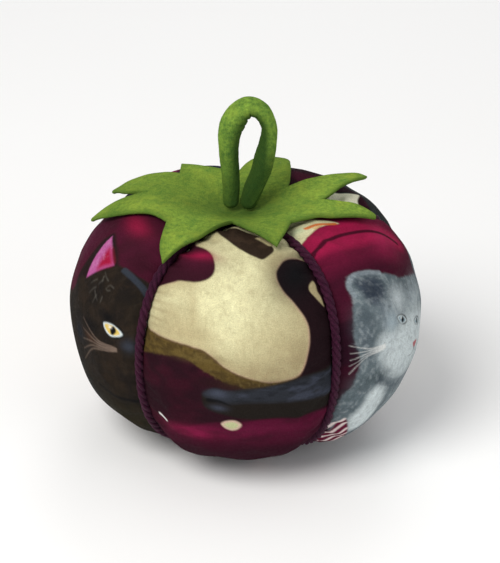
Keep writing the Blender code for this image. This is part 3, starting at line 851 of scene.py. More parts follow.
def paint_kitten(c):
    """The right gore's grey kitten: a dark ear, and a pale muzzle and foreleg."""
    kitten = [(-18.8, 39.2), (-12.5, 38.7), (-7.4, 42.3), (-2, 46.3), (12, 51.5), (24, 64), (16, 90),
              (-8, 99.5), (-20, 93), (-26.4, 77.5), (-24, 68.6), (-23.2, 63), (-24.6, 56), (-21.8, 47)]
    far_ear = [(11.5, 55), (14, 48), (17.6, 46.6), (19.6, 49.4), (21, 59)]
    c.fill(far_ear, GREY, 0.7, 0.3)
    c.fill(kitten, GREY, 0.7, 0.3)
    c.fill([(14, 54), (15.6, 49.8), (17.6, 48.8), (18.8, 51.2), (19, 55.8)], DARK_GREY, 1.8)
    c.dapple(kitten, (0.085, 0.11, 0.125), (3, 4), 0.45)
    near_ear = [(-17.2, 40.4), (-12, 41.2), (-9.6, 44.6), (-12, 47.8), (-16.6, 47.8), (-17.6, 43.6)]
    c.fill(near_ear, DARK_GREY, 2.2)
    c.dapple([(-17, 40), (-10, 42), (-12, 49), (-17, 48)], (0.10, 0.12, 0.15), (1.2, 2.4), 0.5, 0.5, 0.7)
    ear_edge = ((-19.9, 44), (-19.2, 40.6), (-16, 38.7), (-12.5, 39.5), (-8.8, 41.4))
    c.stroke(ear_edge, 1.3, (0.22, 0.26, 0.29), 0.7, False)
    c.glow((-21.5, 55), (2.4, 5), (0.095, 0.12, 0.14), 0.8)
    c.glow((-13, 50.5), (3, 2.6), (0.20, 0.24, 0.27), 0.7)
    c.glow((-6.8, 50.4), (3.4, 3.2), (0.54, 0.60, 0.62), 0.95)
    c.glow((3, 54.5), (7, 4), (0.42, 0.48, 0.50), 0.85)
    c.glow((-5, 58), (5, 4), PALE, 0.7)
    c.glow((-12.5, 54.5), (3.4, 2.2), (0.26, 0.31, 0.34), 0.7)
    muzzle = [(-17.8, 59.6), (-14, 57), (-8, 58), (0, 57), (8, 60), (6, 70), (-3, 73.5), (-10.6, 71.8),
              (-15, 67)]
    c.fill(muzzle, PALE, 4.0)
    c.glow((-18.4, 69.4), (5.4, 2.2), (0.080, 0.105, 0.115), 0.9)
    c.glow((-8, 76.5), (3.6, 4), (0.11, 0.14, 0.155), 0.85)
    c.glow((-23.6, 76.5), (2.6, 5.5), (0.10, 0.13, 0.145), 0.85)
    c.glow((5, 82), (10, 10), (0.46, 0.52, 0.53), 0.8)
    c.glow((4, 72), (6, 6), (0.44, 0.50, 0.51), 0.7)
    c.fill([(-16.8, 72.8), (-13.4, 73.2), (-11, 79), (-11.4, 85), (-14, 89), (-18, 88.4), (-20.6, 83.4),
            (-19, 77.6)], PALE, 2.6)
    c.dapple(kitten, DARK_GREY, (0.9, 1.3), 0.22, 0.5, 0.7)
    c.dapple(kitten, (0.56, 0.62, 0.64), (0.9, 1.3), 0.22, 0.5, 0.7)
    c.fur(kitten, (DARK_GREY, (0.42, 0.48, 0.50), (0.20, 0.24, 0.27)), 1500, 1.1, -25, 0.24, 0.5, 0.30, 0.5)
    c.glow((-14.2, 44.6), (2.8, 3.0), (0.032, 0.042, 0.060), 0.85)
    c.glow((-19.5, 50.5), (1.8, 3.0), (0.070, 0.092, 0.110), 0.75)
    c.glow((-11.6, 55.2), (2.2, 2.6), (0.38, 0.46, 0.50), 0.85)
    c.stroke(((-16, 70.6), (-6, 75), (5, 74.4), (13, 69), (16, 60)), 2.6, DARK_GREY, 0.30, False)
    for v in (80, 85.5, 91):
        c.stroke(((22, v - 9), (14, v - 2), (5, v + 1)), 2.4, DARK_GREY, 0.30)
    cat_eye(c, (-7.0, 56.2), 2.3, (0.28, 0.37, 0.42), PALE, 0.45)
    cat_eye(c, (1.6, 60.2), 1.9, (0.28, 0.37, 0.42), PALE, 0.25)
    c.fill([(-1.4, 65.4), (1.4, 65.6), (0, 67.4)], (0.40, 0.13, 0.14), 0.4)
    c.stroke(((0, 67.2), (-1, 68.8), (-3, 68.6)), 0.35, DARK_GREY, 0.8)
    c.stroke(((0, 67.2), (1, 68.8), (3, 68.8)), 0.35, DARK_GREY, 0.8)
    whisker_fan(c, (-15, 60), -1, 11, WHITE)


def paint_right():
    """A grey kitten under bands of plum, with a sunlit corner."""
    c = Canvas((0.022, 0.005, 0.012), 13)
    dim_band = [(-33, 10), (33, 10), (33, 56), (5, 54), (-10, 50), (-22, 49), (-33, 46)]
    c.fill(dim_band, (0.046, 0.006, 0.017), 7)
    c.fill([(-33, 10), (33, 10), (33, 50), (12, 46), (2, 42), (-8, 37.5), (-20, 36), (-33, 34)],
           (0.110, 0.007, 0.028), 5)
    c.fill([(-19, 24), (-14, 22), (-8, 20.5), (-3, 21.5), (3, 26), (9, 33), (14, 42), (10, 43.4), (5, 38.4),
            (-1, 34), (-7, 31.6), (-12, 29.6), (-19, 28.4)], (0.34, 0.011, 0.060), 2.8)
    c.glow((-6, 29), (8, 2.4), (0.36, 0.012, 0.066), 0.8)
    c.glow((5, 36), (6, 5), (0.36, 0.020, 0.080), 0.9)
    c.dapple(None, (0.080, 0.006, 0.022), (9, 6), 0.25)
    fold = ((-19, 28.8), (-16.5, 27.5), (-13, 26.3), (-9.5, 25.8), (-6, 26.4), (-2, 28.6), (3, 32),
            (7, 36), (10, 41))
    c.stroke(fold, 1.2, (0.034, 0.004, 0.012), 0.9, False)
    # Painted shade: a dark band down the gore's right edge, for the shadow in the seam groove.
    c.stroke(((8, 14), (14.5, 22), (19.5, 31), (23, 40), (26, 50)), 6.0, (0.026, 0.006, 0.014), 0.85, False)
    corner = [(-16, 21.6), (-13, 22.3), (-11, 21.3), (-7.5, 20.7), (-4.5, 21), (-2.5, 21.9),
              (-0.4, 23.6), (-0.8, 20), (-3, 15), (-6, 11), (-12, 11), (-17, 16)]
    c.fill(corner, (0.62, 0.59, 0.36), 0.4)
    c.glow((-9, 17.6), (2.4, 1.6), (0.40, 0.50, 0.32), 0.6)
    c.stroke(((-7.4, 18.6), (-4, 19.8), (-1.2, 22.8)), 1.2, ORANGE, 0.9, False)
    c.stroke(((-6.4, 20.2), (-3.4, 20.8)), 0.7, (0.66, 0.34, 0.08), 0.7)
    paint_kitten(c)
    rug = [(-33, 91), (-23.4, 90.4), (-22.6, 85), (-21.7, 83), (-20, 85), (-17, 89), (-14.2, 93.4),
           (-15, 97), (-17, 101), (-33, 106)]
    c.fill(rug, (0.12, 0.008, 0.032), 0.5)
    stripes = (((-24.8, 90), (-22.0, 83.2)), ((-22.6, 92), (-20.2, 85.4)), ((-20.4, 94), (-18.2, 88)),
               ((-18.6, 96.4), (-16.2, 90.6)), ((-17.2, 99), (-14.4, 93.6)))
    for stripe in stripes:
        c.stroke(stripe, 1.0, (0.78, 0.66, 0.64), 0.95, False)
    c.fill([(-33, 106), (-8, 101), (12, 98), (33, 92), (33, 134), (-33, 134)], DARK_PLUM, 1.6)
    return c


def paint_back_right():
    """A charcoal cat's head, front on, with a cream bib."""
    c = Canvas(DARK_PLUM, 14)
    c.dapple(None, PLUM, (9, 7), 0.7)
    c.fill([(-17, 12), (-6, 16), (-9, 22), (-11.6, 28), (-12.6, 33.6), (-16, 31.6), (-21, 31), (-21, 20)],
           (0.92, 0.90, 0.70), 0.5)
    c.stroke(((-9, 22), (-11.4, 28), (-12.6, 34)), 0.8, BLACK, 0.9, False)
    coat = (0.026, 0.030, 0.030)
    body = [(-24, 38), (-14, 34.4), (-4, 31), (12, 35), (26, 48), (30, 66), (24, 88), (8, 97), (-12, 95),
            (-27, 80), (-31, 60), (-28, 46)]
    c.fill(body, coat, 0.8, 0.2)
    c.dapple(body, (0.050, 0.056, 0.054), (4, 5), 0.6)
    c.fur(body, (BLACK, (0.06, 0.07, 0.07), SLATE), 1000, 2.4, 0, 0.3, 0.35, 0.45, 0.35)
    c.fill([(-8, 76), (0, 73), (8, 76), (7, 88), (0, 94), (-7, 88)], CREAM, 1.2, 0.2)
    cat_face(c, (0, 61), 13, coat, (0.12, 0.14, 0.14), (0.30, 0.12, 0.16), (0.42, 0.46, 0.09))
    paw_print(c, (0, 106), 2.2, PINKISH)
    return c


def paint_back_left():
    """A sandy cat asleep in a ball over navy and plum."""
    c = Canvas(PLUM, 15)
    c.dapple(None, (0.15, 0.010, 0.036), (9, 7), 0.5)
    c.fill([(-33, 8), (33, 8), (33, 40), (18, 41), (8, 38), (-10, 36), (-33, 40)], (0.014, 0.014, 0.034), 3)
    sandy, shade = (0.50, 0.30, 0.12), (0.28, 0.125, 0.040)
    ball = [(-22, 62), (-16, 49), (-2, 43), (13, 47), (23, 58), (24, 72), (14, 84), (-4, 87), (-19, 79)]
    c.fill(ball, sandy, 0.7, 0.2)
    c.rim(ball, shade, 4, 0.7)
    c.dapple(ball, (0.62, 0.42, 0.20), (4, 5), 0.5)
    c.fur(ball, (shade, (0.70, 0.55, 0.32), sandy), 1000, 2.2, 40, 0.3, 0.4, 0.45, 0.3)
    for k in range(7):
        x = -13 + 4.6 * k
        c.stroke(((x, 47 + 0.10 * (x - 2) ** 2), (x + 1.4, 53), (x + 1.0, 60)), 1.5, shade, 0.75)
    c.stroke(((22, 74), (12, 85), (-4, 89), (-18, 84), (-24, 76)), 6.0, sandy, 0.95)
    c.stroke(((22, 77), (12, 87.6), (-4, 91.4), (-18, 86)), 1.4, shade, 0.6)
    cat_face(c, (-9, 70), 8.5, sandy, CREAM, PINKISH, (0.26, 0.36, 0.10))
    c.glow((6, 31), (7, 2.4), BRIGHT, 0.7)
    paw_print(c, (12, 99), 2.0, SAGE)
    return c


PAINTERS = (paint_front, paint_right, paint_back_right, paint_back_left, paint_left)

# ---- the cotton gores ----

COLUMNS, ROWS = 209, 417
INNER_STEP = 8
COVER_THICKNESS = 0.0005
COVER_END_RADIUS = 0.0046
SEAM_TURN_IN = 0.0011
PRINT_START_MM = 1.1
CLOTH_STEP = 4
CLOTH_FRAMES = 20
CLOTH_SCALE = 10.0
CLOTH_SPARE = 0.07
CLOTH_CAP = 0.0009


def cover_lengths(count):
    """Distances down from the crown, between the two small ends of a gore."""
    kept = np.flatnonzero(FINE_RADII >= COVER_END_RADIUS)
    return np.linspace(FINE_LENGTHS[kept[0]], FINE_LENGTHS[kept[-1]], count)


def uneven(azimuth, latitude, index):
    """Soft lumps of the filling under the cotton, and small gathers where it meets the cords."""
    lumps = 0.00026 * np.sin(5.3 * azimuth + 3.1 * latitude + index)
    lumps = lumps + 0.00020 * np.sin(9.1 * azimuth - 5.7 * latitude + 2.2 * index)
    return lumps + 0.00012 * np.sin(17.0 * azimuth + 11.0 * latitude)


def gathers(across, length, index):
    """Puckers that run in from the seams and fade, as the stitches draw the cotton in."""
    nearness = np.clip((np.abs(across) - 0.62) / 0.38, 0, 1) ** 2 * (1 - np.abs(across) ** 12)
    side = np.sign(across)
    phase = length * 1000 * 0.92 + 1.3 * np.sin(length * 210 + index) + 2.4 * side
    drawn = np.sin(phase + 9.0 * np.abs(across)) + 0.5 * np.sin(2.3 * phase + index)
    ends = np.clip((0.30 - np.abs(length / LINE_LENGTH - 0.5)) / 0.12, 0.35, 1)
    return 0.00030 * drawn * nearness / ends


def cover_surface(index, columns, rows, inwards):
    """Points of one gore's face, and where each lies across (-1 to 1) and down it (metres)."""
    lengths = cover_lengths(rows)
    across, length = np.meshgrid(np.linspace(-1, 1, columns), lengths)
    latitude = latitude_at(length)
    middle = FIRST_SEAM + LOBE_ANGLE * (index + 0.5)
    radius = outer_line(latitude)[0]
    turn_in = SEAM_TURN_IN / np.maximum(radius, 0.002) / (LOBE_ANGLE / 2)
    reach = across * (1 - np.minimum(turn_in * 0.35, 0.5))
    azimuth = middle + reach * LOBE_ANGLE / 2
    depth = lobe_depth(across, latitude) + inwards
    depth = depth - uneven(azimuth, latitude, index) - gathers(across, length, index)
    return body_points(azimuth, latitude, depth), reach, length, latitude


def pressed_cloth(points, frames):
    """Where a grid of cloth ends up, its rim held, when it is a little too big and filling presses on it."""
    rows, columns = points.shape[:2]
    trial = add_mesh("cloth_trial", (points * CLOTH_SCALE).reshape(-1, 3), grid_faces(rows, columns))
    index = np.arange(rows * columns).reshape(rows, columns)
    rim = set(index.ravel().tolist()) - set(index[1:-1, 1:-1].ravel().tolist())
    trial.vertex_groups.new(name="held").add(sorted(rim), 1.0, "REPLACE")
    modifier = trial.modifiers.new("cloth", "CLOTH")
    modifier.point_cache.frame_start, modifier.point_cache.frame_end = 1, frames
    modifier.collision_settings.use_collision = False
    cloth = modifier.settings
    cloth.quality = 7
    cloth.mass = 0.35
    cloth.tension_stiffness = cloth.compression_stiffness = 18.0
    cloth.shear_stiffness = 8.0
    cloth.bending_stiffness = 0.6
    cloth.vertex_group_mass = "held"
    cloth.shrink_min = -CLOTH_SPARE
    cloth.use_pressure = True
    cloth.uniform_pressure_force = 4.0
    cloth.effector_weights.gravity = 0.0
    scene = bpy.context.scene
    for frame_number in range(1, frames + 1):
        scene.frame_set(frame_number)
    settled = trial.evaluated_get(bpy.context.evaluated_depsgraph_get()).data
    places = np.empty(rows * columns * 3, np.float32)
    settled.vertices.foreach_get("co", places)
    scene.frame_set(1)
    data = trial.data
    bpy.data.objects.remove(trial)
    bpy.data.meshes.remove(data)
    return places.reshape(rows, columns, 3) / CLOTH_SCALE


def finer(values, step):
    """Values on a coarse grid carried to a grid this many times finer, and smoothed."""
    for axis in (0, 1):
        count = values.shape[axis]
        places = np.linspace(0, count - 1, (count - 1) * step + 1)
        lower = np.minimum(places.astype(int), count - 2)
        share = (places - lower).reshape((-1, 1, 1) if axis == 0 else (1, -1, 1))
        values = values.take(lower, axis) * (1 - share) + values.take(lower + 1, axis) * share
        for _ in range(2 * step):
            padded = np.pad(values, [(1, 1) if k == axis else (0, 0) for k in range(3)], "edge")
            count_now = values.shape[axis]
            before, after = padded.take(range(count_now), axis), padded.take(range(2, count_now + 2), axis)
            values = 0.5 * values + 0.25 * (before + after)
    return values


def settled_offsets(index):
    """How a gore's cotton creases between its seams, as offsets to the drawn shape, by cloth simulation."""
    columns, rows = (COLUMNS - 1) // CLOTH_STEP + 1, (ROWS - 1) // CLOTH_STEP + 1
    drawn = cover_surface(index, columns, rows, 0.0)[0]
    moved = pressed_cloth(drawn, CLOTH_FRAMES) - drawn
    outwards = np.cross(np.gradient(drawn, axis=0), np.gradient(drawn, axis=1))
    outwards /= np.linalg.norm(outwards, axis=2)[..., None] + 1e-12
    swell = (moved * outwards).sum(2)
    for _ in range(40):
        swell = 0.5 * swell + 0.125 * (
            np.roll(swell, 1, 0) + np.roll(swell, -1, 0) + np.roll(swell, 1, 1) + np.roll(swell, -1, 1)
        )
    moved = moved - outwards * swell[..., None]
    length = np.linalg.norm(moved, axis=2)[..., None]
    moved = moved * np.minimum(1, CLOTH_CAP / np.maximum(length, 1e-9))
    held_at_seams = 1 - np.linspace(-1, 1, columns)[None, :, None] ** 8
    return finer(moved * held_at_seams, CLOTH_STEP)


def shell_faces(columns, rows, step):
    """A fine outer grid, a coarser inner one, and the rim that joins them, all facing out."""
    faces = grid_faces(rows, columns)
    coarse_columns, coarse_rows = (columns - 1) // step + 1, (rows - 1) // step + 1
    first = rows * columns
    faces += [tuple(first + v for v in reversed(f)) for f in grid_faces(coarse_rows, coarse_columns)]

    def inner(i, j):
        return first + i * coarse_columns + j

    def outer(i, j):
        return i * columns + j

    for j in range(coarse_columns - 1):
        fine = [outer(0, j * step + k) for k in range(step + 1)]
        faces.append(tuple(fine + [inner(0, j + 1), inner(0, j)]))
        fine = [outer(rows - 1, j * step + k) for k in range(step + 1)]
        faces.append(tuple(fine[::-1] + [inner(coarse_rows - 1, j), inner(coarse_rows - 1, j + 1)]))
    for i in range(coarse_rows - 1):
        fine = [outer(i * step + k, 0) for k in range(step + 1)]
        faces.append(tuple(fine[::-1] + [inner(i, 0), inner(i + 1, 0)]))
        fine = [outer(i * step + k, columns - 1) for k in range(step + 1)]
        faces.append(tuple(fine + [inner(i + 1, coarse_columns - 1), inner(i, coarse_columns - 1)]))
    return faces


def make_cover(index, surface):
    """One gore of printed cotton, with its thickness."""
    name = COVERS[index]
    outer, reach, length, latitude = cover_surface(index, COLUMNS, ROWS, 0.0)
    inner = cover_surface(index, COLUMNS, ROWS, COVER_THICKNESS)[0]
    settled = settled_offsets(index)
    outer = outer + settled
    inner = (inner + settled)[::INNER_STEP, ::INNER_STEP]
    points = np.concatenate([outer.reshape(-1, 3), inner.reshape(-1, 3)])
    cover = add_mesh(name + "_cotton", points, shell_faces(COLUMNS, ROWS, INNER_STEP))
    across_mm = reach * outer_line(latitude)[0] * LOBE_ANGLE / 2 / MM
    down_mm = length / MM
    colour = PAINTERS[index]().sample(across_mm, down_mm - PRINT_START_MM)
    count = inner.shape[0] * inner.shape[1]
    colour = np.concatenate([colour.reshape(-1, 3), np.full((count, 3), 0.5)])
    place = np.stack([across_mm, down_mm, np.zeros_like(down_mm)], -1)
    inner_place = place[::INNER_STEP, ::INNER_STEP].reshape(-1, 3)
    set_point_values(cover.data, "print", np.clip(colour, 0, 1))
    set_vector_values(cover.data, "thread_mm", np.concatenate([place.reshape(-1, 3), inner_place]))
    cover.data.materials.append(surface)
    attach(cover, "cushion")
    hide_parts(name)
    return cover


# ---- the cords in the seams ----

CORD_END_RADIUS = 0.0040
STRANDS = 3
STRAND_RADIUS = 0.00064
STRAND_OFFSET = 0.00060
STRAND_PITCH = 0.0072
POINTS_PER_TURN = 22
STRAND_SIDES = 9


def cord_path(azimuth):
    """Points evenly spaced down a seam, in its groove."""
    kept = np.flatnonzero(FINE_RADII >= CORD_END_RADIUS)
    latitude = FINE_LATITUDES[kept]
    line = body_points(np.full_like(latitude, azimuth), latitude, cord_depth(latitude))
    steps = np.concatenate([[0], np.cumsum(np.linalg.norm(np.diff(line, axis=0), axis=1))])
    count = int(steps[-1] / STRAND_PITCH * POINTS_PER_TURN)
    even = np.linspace(0, steps[-1], count)
    return np.stack([np.interp(even, steps, line[:, k]) for k in range(3)], -1), even


def make_cord(index, surface):
    """Three strands twisted together down a seam."""
    name = CORDS[index]
    path, lengths = cord_path(FIRST_SEAM + LOBE_ANGLE * index)
    _, across, up = frames_along(path)
    points, faces, strand, between = [], [], [], []
    for k in range(STRANDS):
        turn = -lengths / STRAND_PITCH * math.tau + k * math.tau / STRANDS + index
        offset = STRAND_OFFSET * (np.cos(turn)[:, None] * across + np.sin(turn)[:, None] * up)
        centre = path + offset

        def radius(i, turns, k=k):
            loose = 1 + 0.05 * math.sin(0.31 * i + 2 * k) + 0.03 * np.sin(3 * turns + 0.5 * i)
            closing = min(1, 0.25 + 0.25 * min(i, len(centre) - 1 - i))
            return STRAND_RADIUS * loose * closing

        some, some_faces, places = sweep(centre, radius, STRAND_SIDES, sum(map(len, points)))
        away = np.linalg.norm(some - np.repeat(path, STRAND_SIDES, 0), axis=1)
        # How much painted shade each point gets: more where it lies in towards the cord's middle, between
        # the strands.
        between.append(np.clip(1 - (away - 0.0003) / 0.0006, 0, 1))
        spin = places[:, 0] * math.tau + places[:, 1] * 1100
        strand.append(np.column_stack([np.cos(spin), np.sin(spin), places[:, 1]]))
        points.append(some)
        faces += some_faces
    cord = add_mesh(name + "_twist", np.concatenate(points), faces)
    set_vector_values(cord.data, "strand", np.concatenate(strand))
    set_point_values(cord.data, "between", np.concatenate(between))
    cord.data.materials.append(surface)
    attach(cord, "cushion")
    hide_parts(name)
    return cord


# ---- the felt calyx ----

CALYX_GAP = 0.0006
FELT_THICKNESS = 0.0012
FELT_ROUNDING = 0.0005
CALYX_RIM_STEPS = 12
CALYX_RINGS = 44
# Corners and edge points by turns: azimuth in degrees, radius in plan, lift off the crown, sharpness
CALYX_OUTLINE = (
    (-56, 0.0249, 0.0002, 1), (-43, 0.0320, 0.0003, 0), (-35, 0.0363, 0.0004, 1),
    (-32.5, 0.0307, 0.0003, 0), (-27.2, 0.0252, 0.0002, 0), (-17, 0.0134, 0.0002, 1),
    (-1, 0.0180, 0.0002, 0), (9, 0.0225, 0.0003, 0), (16, 0.0279, 0.0004, 1),
    (26, 0.0224, 0.0003, 0), (41, 0.0176, 0.0002, 1), (61, 0.0207, 0.0003, 0),
    (68, 0.0254, 0.0005, 0), (80.2, 0.0333, 0.0008, 1), (82.4, 0.0331, 0.0008, 1),
    (87, 0.0290, 0.0006, 0), (87.8, 0.0248, 0.0004, 0), (88.5, 0.0196, 0.0003, 1),
    (97, 0.0222, 0.0010, 0), (106, 0.0262, 0.0024, 0), (113, 0.0326, 0.0042, 1),
    (118, 0.0316, 0.0036, 0), (122.5, 0.0287, 0.0022, 0), (125.5, 0.0228, 0.0010, 0),
    (128, 0.0136, 0.0002, 1), (140.7, 0.0179, 0.0003, 0), (153, 0.0250, 0.0006, 0),
    (158, 0.0284, 0.0008, 0), (165, 0.0300, 0.0008, 0), (172, 0.0287, 0.0007, 0),
    (178, 0.0257, 0.0006, 0), (188, 0.0182, 0.0003, 1), (203, 0.0206, 0.0003, 0),
    (219, 0.0286, 0.0006, 1), (230, 0.0240, 0.0003, 1), (234.5, 0.0292, 0.0005, 0),
    (240, 0.0352, 0.0008, 0), (249, 0.0379, 0.0010, 1), (257, 0.0330, 0.0006, 0),
    (262.5, 0.0274, 0.0003, 1), (264.5, 0.0300, 0.0004, 0), (266.5, 0.0337, 0.0006, 0),
    (270.5, 0.0398, 0.0010, 1), (277, 0.0357, 0.0007, 0), (281, 0.0325, 0.0005, 0),
    (290, 0.0266, 0.0003, 0),
)


def calyx_rim():
    """Points round the calyx as x, y and lift: smooth between its corners, which stay nearly sharp."""
    knots = []
    for degrees, radius, lift, corner in CALYX_OUTLINE:
        azimuth = math.radians(degrees)
        knots.append((np.array([radius * math.sin(azimuth), -radius * math.cos(azimuth), lift]), corner))
    starts = [i for i, (_, corner) in enumerate(knots) if corner]
    rim = []
    for start, end in zip(starts, starts[1:] + [starts[0] + len(knots)]):
        span = [knots[i % len(knots)][0] for i in range(start, end + 1)]
        rim.append(smooth_route(span, CALYX_RIM_STEPS)[:-1])
    return np.concatenate(rim)


def ragged(count, seed, size):
    """A smooth closed run of small offsets."""
    random = np.random.default_rng(seed)
    turns = np.arange(count) / count * math.tau
    waves = [
        random.normal() / k**0.35 * np.sin(k * turns + random.uniform(0, math.tau))
        for k in range(20, 170, 5)
    ]
    return size * sum(waves) / 3


def felt_surface(x, y, rise):
    """Points this far over the outer line of the crown."""
    radius = np.hypot(x, y)
    azimuth = np.arctan2(x, -y)
    return body_points(azimuth, crown_latitude(radius), -rise)


def felt_waves(x, y):
    """Long soft bends and short pressed-in unevenness of the felt."""
    long_waves = 0.00022 * np.sin(170 * x + 60 * y) * np.sin(130 * y - 40 * x + 0.7)
    short = 0.00006 * np.sin(900 * x + 310 * y) * np.sin(760 * y - 240 * x)
    return long_waves + short


def leaf_veins(x, y, radius):
    """Shallow creases along each leaf's middle, which fade to the centre."""
    azimuth = np.degrees(np.arctan2(x, -y))
    crease = 0
    for tip in (-37, 16, 89, 118, 166, 214, 246, 265):
        away = np.radians((azimuth - tip + 180) % 360 - 180) * radius
        crease = crease + np.exp(-((away / 0.0011) ** 2)) * np.clip((radius - 0.012) / 0.012, 0, 1)
    return -0.00016 * crease


def calyx_shade(x, y, inside):
    """Painted shade: dark where the felt meets the loop's feet, softer round them and along the leaves'
    rims.
    """
    from_loop = ((x - HINGE.x) / 0.0160) ** 2 + ((y + 0.001) / 0.0090) ** 2
    from_feet = ((x - HINGE.x - 0.0022) / 0.0056) ** 2 + ((y + 0.002) / 0.0034) ** 2
    near_loop = 0.68 * np.exp(-(from_loop**1.3))
    near_feet = 0.85 * np.exp(-(from_feet**1.2))
    near_rim = 0.30 * np.exp(-((inside / 0.0016) ** 2))
    return np.maximum.reduce((near_loop, near_rim, near_feet))


def make_calyx(surface):
    """A star of felt leaves, laid on the crown, whose tips stand off it and curl a little."""
    rim = calyx_rim()
    count = len(rim)
    rim[:, :2] *= 1 + ragged(count, 5, 0.0045)[:, None]
    shares = 1 - (1 - np.linspace(0.02, 1, CALYX_RINGS)) ** 1.35
    x, y = shares[:, None] * rim[:, 0], shares[:, None] * rim[:, 1]
    radius = np.hypot(x, y)
    leaf_reach = np.hypot(rim[:, 0], rim[:, 1])
    lift = rim[:, 2] * shares[:, None] ** 3 + felt_waves(x, y) * np.clip(radius / 0.01, 0, 1)
    lift = np.maximum(lift, -0.0002)
    inside = (1 - shares[:, None]) * leaf_reach * 0.8
    rounded = np.sqrt(1 - (1 - np.clip(inside / FELT_ROUNDING, 0, 1)) ** 2)
    vein = leaf_veins(x, y, radius) * np.clip(inside / 0.002, 0, 1)
    middle = CALYX_GAP + lift + FELT_THICKNESS / 2
    half = FELT_THICKNESS / 2 * (0.25 + 0.75 * rounded)
    upper = felt_surface(x, y, middle + half + vein)
    lower = felt_surface(x, y, middle - half)
    top = felt_surface(np.zeros(1), np.zeros(1), np.array([CALYX_GAP + FELT_THICKNESS]))
    bottom = felt_surface(np.zeros(1), np.zeros(1), np.array([CALYX_GAP]))
    points = np.concatenate([upper.reshape(-1, 3), lower.reshape(-1, 3), top, bottom])
    calyx = add_mesh("calyx_felt", points, disc_faces(CALYX_RINGS, count))
    # Painted shade along the felt's cut rim.
    edge = np.exp(-((inside / 0.0004) ** 2)).ravel()
    set_point_values(calyx.data, "cut_edge_shade", np.concatenate([edge, edge, [0, 0]]))
    # Painted shade on the felt's underside and at its two centre points, beside the painted shade of its
    # top.
    under_shade = np.full(edge.size, 0.45)
    shade = np.concatenate([calyx_shade(x, y, inside).ravel(), under_shade, [0.62, 0.5]])
    set_point_values(calyx.data, "shade", shade)
    calyx.data.materials.append(surface)
    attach(calyx, "cushion")
    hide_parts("calyx")
    return calyx


# ---- the rolled loop ----

# The loop's centre line in its own plane, left foot to right foot: x, height over its hinge, radius
LOOP_ROUTE = (
    (-0.0022, 0.0, 0.0021), (-0.0023, 0.0040, 0.0022), (-0.0026, 0.0090, 0.0023),
    (-0.0030, 0.0140, 0.0025), (-0.0029, 0.0185, 0.0029), (-0.0021, 0.0222, 0.0033),
    (-0.0003, 0.0251, 0.0031), (0.0024, 0.0267, 0.0027), (0.0055, 0.0252, 0.0024),
    (0.0073, 0.0215, 0.0021), (0.0072, 0.0170, 0.0023), (0.0064, 0.0125, 0.0026),
    (0.0051, 0.0075, 0.0025), (0.0036, 0.0035, 0.0025), (0.0026, 0.0, 0.0023),
)
LOOP_STEPS = 16
LOOP_SIDES = 48


def foot_points(foot, radius, count):
    """Places and radii that close the tube in a half ball below its foot."""
    turns = np.radians(np.linspace(84, 0, count, endpoint=False))
    points = foot + np.outer(radius * np.sin(turns), (0, 0, -1))
    return points, radius * np.cos(turns)


